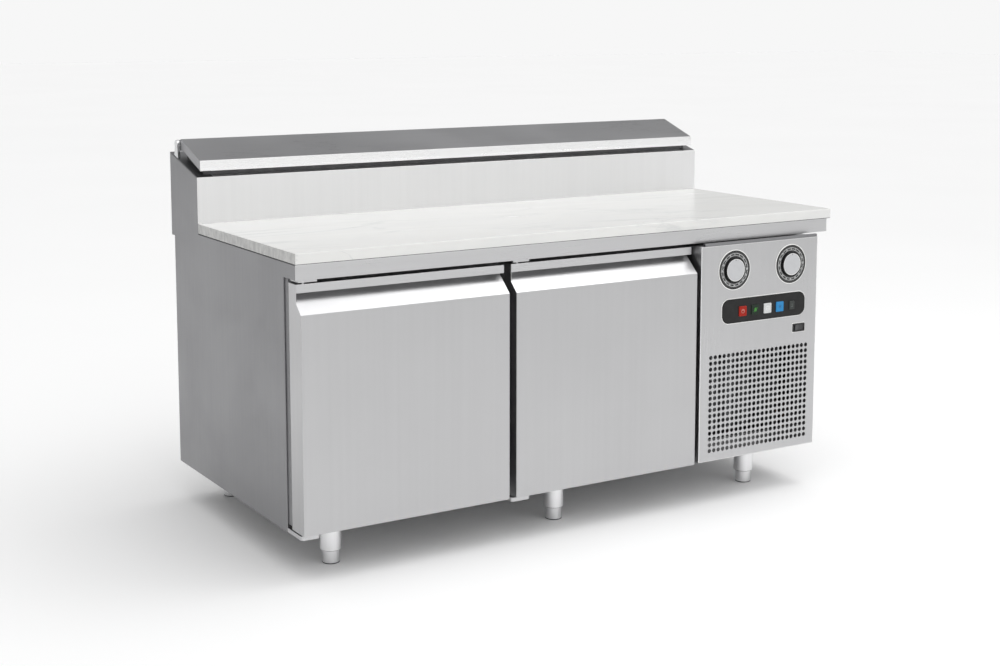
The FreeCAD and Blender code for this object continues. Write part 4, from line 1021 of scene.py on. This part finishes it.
@dataclass
class VentPanel:
    """Perforated front of the machine compartment, its folded hems and the strip above it."""

    trees: Trees
    hem: float = 2.6 * MM
    strip_from: float = 14 * MM
    strip_back: float = 2.5 * MM
    plate_fold: FoldedEdges = FoldedEdges(0.8 * MM, 3, 20 * MM, 60.0)

    def build(self) -> None:
        """Dress the panel, whose holes are real; round the hinge plates, whose upper faces get painted shade;
        add the hems (painted highlight) and the strip.
        """
        dress(STEEL_UPRIGHT, "vent_panel")
        low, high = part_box("vent_panel")
        halfway = (low.z + high.z) / 2
        # The hinge plates' upper faces are painted black: painted shade of the dark gap above the doors.
        plates = self.plate_fold.rounded("door_hinge_brackets",
                                         lambda face: int(face.calc_center_median().z > halfway))
        place_piece(plates, "hinge_plates_gap_shade", "cabinet", "satin_steel", [STEEL_ALONG, BLACK_PRINT_AND_GAP_SHADE],
                    ["door_hinge_brackets"])
        # Near-white bead along the panel's folded edges: painted highlight on a real hem.
        hem = self.trees.bead.grow(STEEL_PAINTED_HIGHLIGHT, {
            "Width": high.x - low.x - self.hem, "Height": high.z - low.z - self.hem, "Corner": 1.2 * MM,
            "Centre": Vector(((low.x + high.x) / 2, low.y + 0.45 * self.hem, (low.z + high.z) / 2)),
            "Bead Width": self.hem, "Bead Depth": self.hem})
        place_piece(hem, "vent_panel_hem_highlight", "cabinet", "bright_steel", [STEEL_PAINTED_HIGHLIGHT], (), 60.0)
        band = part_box("worktop_subframe")[0].z
        strip = box_mesh(Vector((low.x + self.strip_from, low.y + self.strip_back, high.z - 2 * MM)),
                         Vector((high.x - 1 * MM, low.y + self.strip_back + 8 * MM, band)))
        place_piece(strip, "panel_top_strip", "cabinet", "satin_steel", [STEEL_SIDE_PAINTED_SHADE])


@dataclass
class Dial:
    """Round control with a printed scale, a ribbed rim and a plain pale cap."""

    number: int
    trees: Trees
    marks: int = 72
    inner_marks: int = 60
    mark_bar: Point = (1.9 * MM, 0.25 * MM, 2.3 * MM)
    figures: int = 16
    figure_step: int = 5
    figure_height: float = 6.2 * MM
    rim: float = 6.0 * MM
    inner_rim: float = 4.4 * MM
    knob_rim: float = 4.0 * MM
    plate_front: float = 5.5 * MM
    ribs: int = 72

    def build(self) -> None:
        """Make the scale on the cabinet and the knob's own pieces."""
        knob_low, knob_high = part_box(f"dial_knob_{self.number}")
        centre = (knob_low + knob_high) / 2
        scale_low, scale_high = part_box("dial_scales")
        knob_radius = (knob_high.x - knob_low.x) / 2
        self._scale(centre, scale_low.y, (scale_high.z - scale_low.z) / 2, knob_radius)
        self._knob(centre, knob_low.y, knob_radius)

    def _scale(self, centre: Vector, front: float, outer: float, inner: float) -> None:
        """Printed marks and figures, and the thin white line round them.

        Args:
            centre: Middle of the knob.
            front: Y of the scale's face.
            outer: Radius of the scale.
            inner: Radius of the knob.
        """
        name = f"dial_{self.number}"
        face = Vector((centre.x, front - 0.05 * MM, centre.z))
        near_radius, far_radius = inner + self.inner_rim, outer - self.rim
        whole_turn = {"Start": 0.0, "Sweep": 2 * math.pi, "Centre": face, "Bar": self.mark_bar}
        far = {**whole_turn, "Count": self.marks, "Radius": far_radius}
        near = {**whole_turn, "Count": self.inner_marks, "Radius": near_radius}
        pieces = [self.trees.ring.grow(PALE_PRINT, far), self.trees.ring.grow(PALE_PRINT, near)]
        reach = (near_radius + far_radius) / 2
        for index in range(self.figures):
            turn = math.pi / 2 - index * 2 * math.pi / self.figures
            spot = (centre.x + reach * math.cos(turn), front - 0.1 * MM, centre.z + reach * math.sin(turn))
            figure = str(index * self.figure_step)
            pieces.append(numeral(figure, self.figure_height, spot, turn - math.pi / 2))
        place_piece(merged(pieces), name + "_scale_marks", "cabinet", "black_plastic", [PALE_PRINT])
        for label, slot, finish, start, end in (("_border", "black_plastic", BLACK_PRINT_AND_GAP_SHADE, -0.6, 1.8),
                                                ("_outline", "white_plastic", WHITE_PRINT_AND_HIGHLIGHT, 1.8, 3.8)):
            near_edge, far_edge = outer + start * MM, outer + end * MM
            ring = lathe([(near_edge, front + 1.4 * MM), (near_edge, front - 0.05 * MM),
                          (far_edge, front + 0.4 * MM), (far_edge, front + 1.4 * MM)],
                         Vector((centre.x, 0.0, centre.z)), Axis.Y, 64)
            place_piece(ring, name + label, "cabinet", slot, [finish])

    def _knob(self, centre: Vector, front: float, radius: float) -> None:
        """Pale cap in the knob's dish with a white ring of painted highlight at its edge, a pointer, and ribs
        round the edge.

        Args:
            centre: Middle of the knob.
            front: Y of the knob's face.
            radius: Radius of the knob.
        """
        body = f"dial_{self.number}"
        on_axis = Vector((centre.x, 0.0, centre.z))
        shaft_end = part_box(f"dial_knob_{self.number}")[1].y
        dish, back, shaft = radius - self.knob_rim, front + self.plate_front, 4.0 * MM
        knob = lathe([(0.0, shaft_end), (shaft, shaft_end), (shaft, back), (radius, back),
                      (radius, front + 0.9 * MM), (radius - 0.9 * MM, front), (dish, front),
                      (dish, front + 1.0 * MM), (0.0, front + 1.0 * MM)], on_axis, Axis.Y, 64)
        place_piece(knob, body + "_knob_body", body, "black_plastic", [BLACK_PRINT_AND_GAP_SHADE],
                    [f"dial_knob_{self.number}"])
        edge = dish - 0.05 * MM
        cap = lathe([(0.0, front + 1.2 * MM), (edge, front + 1.2 * MM), (edge, front + 0.6 * MM),
                     (dish - 0.5 * MM, front + 0.3 * MM), (dish * 0.7, front + 0.2 * MM),
                     (0.0, front + 0.15 * MM)], on_axis, Axis.Y, 64)
        place_piece(cap, body + "_cap", body, "grey_plastic", [CAP_PLASTIC])
        # White ring at the cap's edge: painted highlight.
        rim = lathe([(dish - 1.3 * MM, front + 1.0 * MM), (dish - 1.3 * MM, front + 0.05 * MM),
                     (dish - 0.1 * MM, front + 0.05 * MM), (dish - 0.1 * MM, front + 1.0 * MM)],
                    on_axis, Axis.Y, 64)
        place_piece(rim, body + "_cap_highlight_ring", body, "white_plastic", [WHITE_PRINT_AND_HIGHLIGHT])
        line = strokes([((centre.x, centre.z + dish - 4.5 * MM), (centre.x, centre.z + dish - 1.8 * MM))],
                       1.0 * MM, front + 0.05 * MM, 0.6 * MM)
        place_piece(line, body + "_pointer", body, "black_plastic", [BLACK_PRINT_AND_GAP_SHADE])
        ribs = self.trees.ring.grow(BLACK_PRINT_AND_GAP_SHADE, {
            "Count": self.ribs, "Radius": radius - 0.35 * MM, "Start": 0.0, "Sweep": 2 * math.pi,
            "Bar": (1.1 * MM, 3.6 * MM, 1.2 * MM), "Centre": Vector((centre.x, front + 3.4 * MM, centre.z))})
        place_piece(ribs, body + "_ribs", body, "black_plastic", [BLACK_PRINT_AND_GAP_SHADE])


@dataclass
class ButtonBank:
    """Charcoal plate with a printed outline and five coloured push buttons."""

    trees: Trees
    glyph: float = 5.0 * MM
    stroke: float = 1.3 * MM
    outline: Point = (1.1 * MM, 2.6 * MM, 23.1 * MM)
    border: Point = (-0.9 * MM, 1.4 * MM, 21.1 * MM)

    def build(self) -> None:
        """Make the plate's outline and each button's sign."""
        low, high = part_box("control_plate")
        dress(PLATE_PLASTIC, "control_plate")
        panel_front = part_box("vent_panel")[0].y
        outline_of(self.trees, WHITE_PRINT_AND_HIGHLIGHT, "plate_outline", low, high, self.outline, panel_front)
        outline_of(self.trees, BLACK_PRINT_AND_GAP_SHADE, "plate_border", low, high, self.border, low.y)
        for colour, shade in CAP_COLOURS.items():
            self._button(colour, shade)

    def _button(self, colour: str, shade: str) -> None:
        """Colour a button and print its sign.

        Args:
            colour: The button's name.
            shade: Its sRGB colour.
        """
        node = "button_" + colour
        finish = MouldedPlastic("abs_moulded_" + colour, shade, 0.4, 0.5 * MM, 0.02 * MM, 0.2)
        rounded = FoldedEdges(0.5 * MM, 3, 4 * MM, 30.0).rounded(node)
        body, slot = colour + "_button", colour + "_plastic"
        place_piece(rounded, body + "_cap", body, slot, [finish], [node])
        low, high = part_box(node)
        x, z, g = (low.x + high.x) / 2, (low.z + high.z) / 2, self.glyph
        signs: dict[str, list[tuple[Flat, Flat]]] = {
            "red": [((x, z + g), (x, z + g * 0.2))] + arc_lines(x, z, g, 125, 415, 9),
            "green": [((x - g, z - g), (x - g * 0.2, z + g)), ((x - g * 0.2, z + g), (x + g * 0.2, z - g)),
                      ((x + g * 0.2, z - g), (x + g, z + g))],
            "white": [((x - g, z + d * g), (x + g, z + d * g)) for d in (-1.0, 0.0, 1.0)]
            + [((x - g, z - g), (x - g, z + g)), ((x + g, z - g), (x + g, z + g))],
            "blue": [((x - g * math.cos(a), z - g * math.sin(a)), (x + g * math.cos(a), z + g * math.sin(a)))
                     for a in (math.radians(30), math.radians(90), math.radians(150))],
            "grey": [((x - g * 0.5, z - g * 0.7), (x + g * 0.5, z - g * 0.7)),
                     ((x, z + g * 0.7), (x, z - g * 0.1))]}
        ink = MouldedPlastic("screen_print_" + colour, SIGN_COLOURS[colour], 0.45)
        sign = strokes(signs[colour], self.stroke, low.y - 0.08 * MM, 0.2 * MM)
        place_piece(sign, body + "_sign", body, slot, [ink])


def outline_of(trees: Trees, finish: Finish, name: str, low: Vector, high: Vector,
               shape: tuple[float, float, float], front: float) -> None:
    """Printed line round a rectangular piece of the front.

    Args:
        trees: Shared geometry trees.
        finish: Finish of the line.
        name: Name of the new piece.
        low: Low corner of the rectangular piece.
        high: High corner of the rectangular piece.
        shape: How far outside the edge the line's middle runs, its width, and its corner radius.
        front: Y of the surface that it lies on.
    """
    outside, width, corner = shape
    line = trees.bead.grow(finish, {
        "Width": high.x - low.x + 2 * outside, "Height": high.z - low.z + 2 * outside, "Corner": corner,
        "Centre": Vector(((low.x + high.x) / 2, front, (low.z + high.z) / 2)),
        "Bead Width": width, "Bead Depth": 0.5 * MM})
    slot = "white_plastic" if finish is WHITE_PRINT_AND_HIGHLIGHT else "black_plastic"
    place_piece(line, name, "cabinet", slot, [finish], (), 60.0)


def arc_lines(x: float, z: float, radius: float, start: float, end: float,
              steps: int) -> list[tuple[Flat, Flat]]:
    """Short lines along an arc that faces the front, with its angles in degrees."""
    turns = [math.radians(start + (end - start) * step / steps) for step in range(steps + 1)]
    spots = [(x + radius * math.cos(turn), z + radius * math.sin(turn)) for turn in turns]
    return list(zip(spots, spots[1:]))


@dataclass
class MainsSwitch:
    """Rocker switch in its snap-in frame."""

    trees: Trees

    def build(self) -> None:
        """Dress the switch and print the frame's outline."""
        dress(BLACK_PLASTIC_AND_SLOT_SHADE, "switch_frame")
        dress(MouldedPlastic("abs_moulded_rocker", "#333335", 0.38), "mains_rocker")
        low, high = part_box("switch_frame")
        outline_of(self.trees, WHITE_PRINT_AND_HIGHLIGHT, "switch_outline", low, high, (0.9 * MM, 2.2 * MM, 2.4 * MM),
                   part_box("vent_panel")[0].y)


@dataclass
class ColdBays:
    """Shelves, slotted posts and the cooling coil between the bays."""

    trees: Trees
    slot_step: float = 25 * MM
    slot_size: Flat = (9 * MM, 4 * MM)
    slot_from: float = 40 * MM
    slot_to: float = 30 * MM
    post_half: float = 11 * MM
    post_inset: float = 3 * MM
    fin_step: float = 6 * MM
    tube_proud: float = 8 * MM

    def build(self) -> None:
        """Dress the fittings, add the coil's fins, and dark faces that paint the shade in the posts' slots.
        """
        dress(STEEL_WIRE, "wire_shelf_1", "wire_shelf_2")
        dress(STEEL_UPRIGHT, "shelf_uprights")
        dress(FIN_STOCK, "evaporator_coil")
        low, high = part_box("evaporator_coil")
        centre = middle("evaporator_coil")
        count = int((high.y - low.y - 2 * self.tube_proud) / self.fin_step)
        fins = self.trees.row.grow(FIN_STOCK, {
            "Count": count,
            "First": Vector((centre.x, low.y + self.tube_proud + self.fin_step / 2, centre.z)),
            "Step": (0.0, self.fin_step, 0.0),
            "Block": (high.x - low.x - 1 * MM, 0.25 * MM, high.z - low.z - 1 * MM)})
        place_piece(fins, "evaporator_fins", "cabinet", "fin_aluminium", [FIN_STOCK])
        self._slots()

    def _slots(self) -> None:
        """Dark faces up the inner side of each post: painted shade where the slots are."""
        low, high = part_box("shelf_uprights")
        shelves = [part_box("wire_shelf_1"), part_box("wire_shelf_2")]
        floor, top = low.z + self.slot_from, high.z - self.slot_to
        count = int((top - floor) / self.slot_step)
        meshes = []
        for shelf_low, shelf_high in shelves:
            for face in (shelf_low.x + self.post_inset, shelf_high.x - self.post_inset):
                for y in (low.y + self.post_half, high.y - self.post_half):
                    meshes.append(self.trees.row.grow(BLACK_PLASTIC_AND_SLOT_SHADE, {
                        "Count": count, "First": (face, y, floor), "Step": (0.0, 0.0, self.slot_step),
                        "Block": (0.3 * MM, self.slot_size[0], self.slot_size[1])}))
        place_piece(merged(meshes), "upright_slot_shade", "cabinet", "black_plastic", [BLACK_PLASTIC_AND_SLOT_SHADE])


@dataclass
class Machinery:
    """Condensing unit behind the perforated panel, and the louvred back cover."""

    trees: Trees
    fin_step: float = 3 * MM
    tube_proud: float = 8 * MM
    louvre_columns: int = 2
    louvre_rows: int = 14
    louvre_step: Flat = (170 * MM, 28 * MM)
    louvre_first: Flat = (112.5 * MM, 154 * MM)

    def build(self) -> None:
        """Dress the machines, add fins and louvre hoods."""
        dress(FIN_STOCK, "condenser_coil")
        dress(ZINC, "condenser_fan_motor", "machine_rear_cover")
        dress(BLACK_PLASTIC_AND_SLOT_SHADE, "fan_blades", "power_inlet")
        dress(ENAMEL, "compressor")
        dress(COPPER, "refrigerant_pipes")
        dress(STEEL_WIRE, "cover_screws")
        low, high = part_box("condenser_coil")
        centre = middle("condenser_coil")
        fins = self.trees.row.grow(FIN_STOCK, {
            "Count": int((high.x - low.x - 2 * self.tube_proud) / self.fin_step),
            "First": (low.x + self.tube_proud + self.fin_step / 2, centre.y, centre.z),
            "Step": (self.fin_step, 0.0, 0.0),
            "Block": (0.2 * MM, high.y - low.y - 1 * MM, high.z - low.z - 1 * MM)})
        place_piece(fins, "condenser_fins", "cabinet", "fin_aluminium", [FIN_STOCK])
        self._louvres()

    def _louvres(self) -> None:
        """Hoods over the slots of the back cover, and the pins of the mains inlet."""
        low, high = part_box("machine_rear_cover")
        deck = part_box("cabinet_floor")[0].z
        hoods = self.trees.louvre.grow(ZINC, {
            "Columns": self.louvre_columns, "Rows": self.louvre_rows,
            "First": (low.x + self.louvre_first[0], high.y - 0.4 * MM, deck + self.louvre_first[1] + 5 * MM),
            "Column Step": self.louvre_step[0], "Row Step": self.louvre_step[1],
            "Hood": (75 * MM, 7.5 * MM, 6.5 * MM)})
        place_piece(hoods, "rear_louvres", "cabinet", "galvanised_steel", [ZINC], (), 60.0)
        inlet_low, inlet_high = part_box("power_inlet")
        x, z = (inlet_low.x + inlet_high.x) / 2, (inlet_low.z + inlet_high.z) / 2
        pins = strokes([((x - 7 * MM, z - 1 * MM), (x - 7 * MM, z + 3 * MM)),
                        ((x + 7 * MM, z - 1 * MM), (x + 7 * MM, z + 3 * MM)),
                        ((x, z - 5 * MM), (x, z - 1 * MM))], 2 * MM, inlet_low.y + 1.2 * MM, 3.2 * MM)
        place_piece(pins, "inlet_pins", "cabinet", "bright_steel", [STEEL_PAINTED_HIGHLIGHT])


@dataclass
class Legs:
    """Round sleeves with telescoping feet, and dark rings under the sleeves and the feet that paint the shade
    there.
    """

    # Height of the dark ring under each sleeve: painted shade at the step down to the foot.
    seal: float = 1.6 * MM
    shade_ring_reach: Point = (0.1 * MM, 3.4 * MM, 4.6 * MM)
    # Height of the dark disc under each foot: painted shade where it meets the floor.
    pad: float = 2.6 * MM

    def build(self) -> None:
        """Dress the sleeves and the feet, and add dark rings of painted shade under the sleeves and the feet.
        """
        sleeve_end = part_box("leg_sockets")[0].z
        dress(STEEL_TUBE_PAINTED_LIGHT, "leg_sockets")
        for number in range(1, 7):
            node = f"levelling_foot_{number}"
            dress(STEEL_TUBE_PAINTED_LIGHT, node)
            low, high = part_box(node)
            radius = (high.x - low.x) / 2
            axis = Vector(((low.x + high.x) / 2, (low.y + high.y) / 2, 0.0))
            inner, lower_edge, upper_edge = (radius + reach for reach in self.shade_ring_reach)
            seal = lathe([(inner, sleeve_end - self.seal), (lower_edge, sleeve_end - self.seal),
                          (upper_edge, sleeve_end), (inner, sleeve_end)], axis, Axis.Z, 40)
            place_piece(seal, f"leg_shade_ring_{number}", "cabinet", "gasket_rubber", [GASKET_AND_RING_SHADE])
            pad = lathe([(0.0, 0.0), (radius - 1.6 * MM, 0.0), (radius + 0.3 * MM, 0.8 * MM),
                         (radius + 0.3 * MM, self.pad), (0.0, self.pad)], axis, Axis.Z, 40)
            place_piece(pad, f"foot_shade_pad_{number}", f"foot_{number}", "gasket_rubber", [DARK_PAINTED_SHADE])


@dataclass
class Studio:
    """Pale floor, soft light and the camera."""

    floor_half: float = 40.0
    eye: Point = (-2.2283, -3.5829, 1.2838)
    turn: float = 31.5
    tip: float = 7.1
    lens: float = 56.91
    rise: float = -0.12
    sky_floor: float = 0.36
    sky_glows: tuple[tuple[Point, Flat, float], ...] = (
        ((0.1, -0.35, 0.93), (0.4, 0.95), 1.4), ((0.2, -0.98, 0.1), (0.8, 1.0), 0.4))
    backdrop: float = 0.93

    def build(self) -> None:
        """Set the floor, the light and the camera."""
        self._floor()
        self._world()
        self._softbox("softbox_over", (1.5, -0.6, 3.2), (0.2, -0.1, 0.6), (2.4, 1.6), 20.0)
        self._camera()
        scene = bpy.context.scene
        scene.view_settings.view_transform = "Standard"
        scene.view_settings.look = "None"

    def _floor(self) -> None:
        """Wide floor under the feet."""
        half = self.floor_half
        mesh = bpy.data.meshes.new("floor")
        mesh.from_pydata([(-half, -half, 0), (half, -half, 0), (half, half, 0), (-half, half, 0)], [],
                         [(0, 1, 2, 3)])
        mesh.materials.append(PaleFloor("studio_floor_pale", "#F8F8F8", 0.7).material())
        floor = bpy.data.objects.new("floor", mesh)
        bpy.context.scene.collection.objects.link(floor)

    def _world(self) -> None:
        """White sky, bright overhead and in front, dimmer towards the back so that the sides read darker."""
        world = bpy.data.worlds.new("soft_sky")
        world.use_nodes = True
        tree = world.node_tree
        tree.nodes.clear()
        way = add_node(tree, "ShaderNodeTexCoord").outputs["Generated"]
        level: Any = self.sky_floor
        for towards, span, gain in self.sky_glows:
            facing = add_node(tree, "ShaderNodeVectorMath", {0: way, 1: Vector(towards).normalized()},
                              operation="DOT_PRODUCT")
            level = calculate(tree, "ADD", level, spread(tree, facing.outputs["Value"], span, (0.0, gain)))
        sky = add_node(tree, "ShaderNodeBackground", {"Color": linear("#FFFFFF"), "Strength": level})
        seen = add_node(tree, "ShaderNodeBackground", {"Color": linear("#FFFFFF"), "Strength": self.backdrop})
        ray = add_node(tree, "ShaderNodeLightPath").outputs["Is Camera Ray"]
        mixed = add_node(tree, "ShaderNodeMixShader", {0: ray, 1: sky.outputs[0], 2: seen.outputs[0]})
        add_node(tree, "ShaderNodeOutputWorld", {"Surface": mixed.outputs[0]})
        bpy.context.scene.world = world

    def _softbox(self, name: str, spot: Point, aim: Point, size: Flat, power: float) -> None:
        """Rectangular area light.

        Args:
            name: Name of the light.
            spot: Where it stands.
            aim: Point that it faces.
            size: Width and height.
            power: Watts.
        """
        light = bpy.data.lights.new(name, "AREA")
        light.shape, light.size, light.size_y, light.energy = "RECTANGLE", size[0], size[1], power
        holder = bpy.data.objects.new(name, light)
        holder.location = spot
        holder.rotation_euler = (Vector(aim) - Vector(spot)).to_track_quat("-Z", "Y").to_euler()
        bpy.context.scene.collection.objects.link(holder)

    def _camera(self) -> None:
        """Camera at the viewing angle, a little above the worktop and to the left."""
        camera = bpy.data.cameras.new("camera")
        camera.lens, camera.sensor_width, camera.shift_y = self.lens, 36.0, self.rise
        camera.clip_end = 200.0
        holder = bpy.data.objects.new("camera", camera)
        holder.location = self.eye
        holder.rotation_euler = (math.radians(90 - self.tip), 0.0, math.radians(-self.turn))
        bpy.context.scene.collection.objects.link(holder)
        bpy.context.scene.camera = holder


def main() -> None:
    """Build every sub-assembly in order and report each piece."""
    logging.basicConfig(level=logging.INFO, format="%(name)s: %(message)s")
    trees = Trees(ring_tree(), row_tree(), louvre_tree(), frame_bead_tree())
    parts: list[Any] = [Cabinet(), Worktop(), IngredientRail(), Lid(), Door(1, trees), Door(2, trees),
                        VentPanel(trees), Dial(1, trees), Dial(2, trees), ButtonBank(trees),
                        MainsSwitch(trees), ColdBays(trees), Machinery(trees), Legs(), Studio()]
    for part in parts:
        part.build()
        LOG.info("%s done", type(part).__name__)


if __name__ == "__main__":
    main()
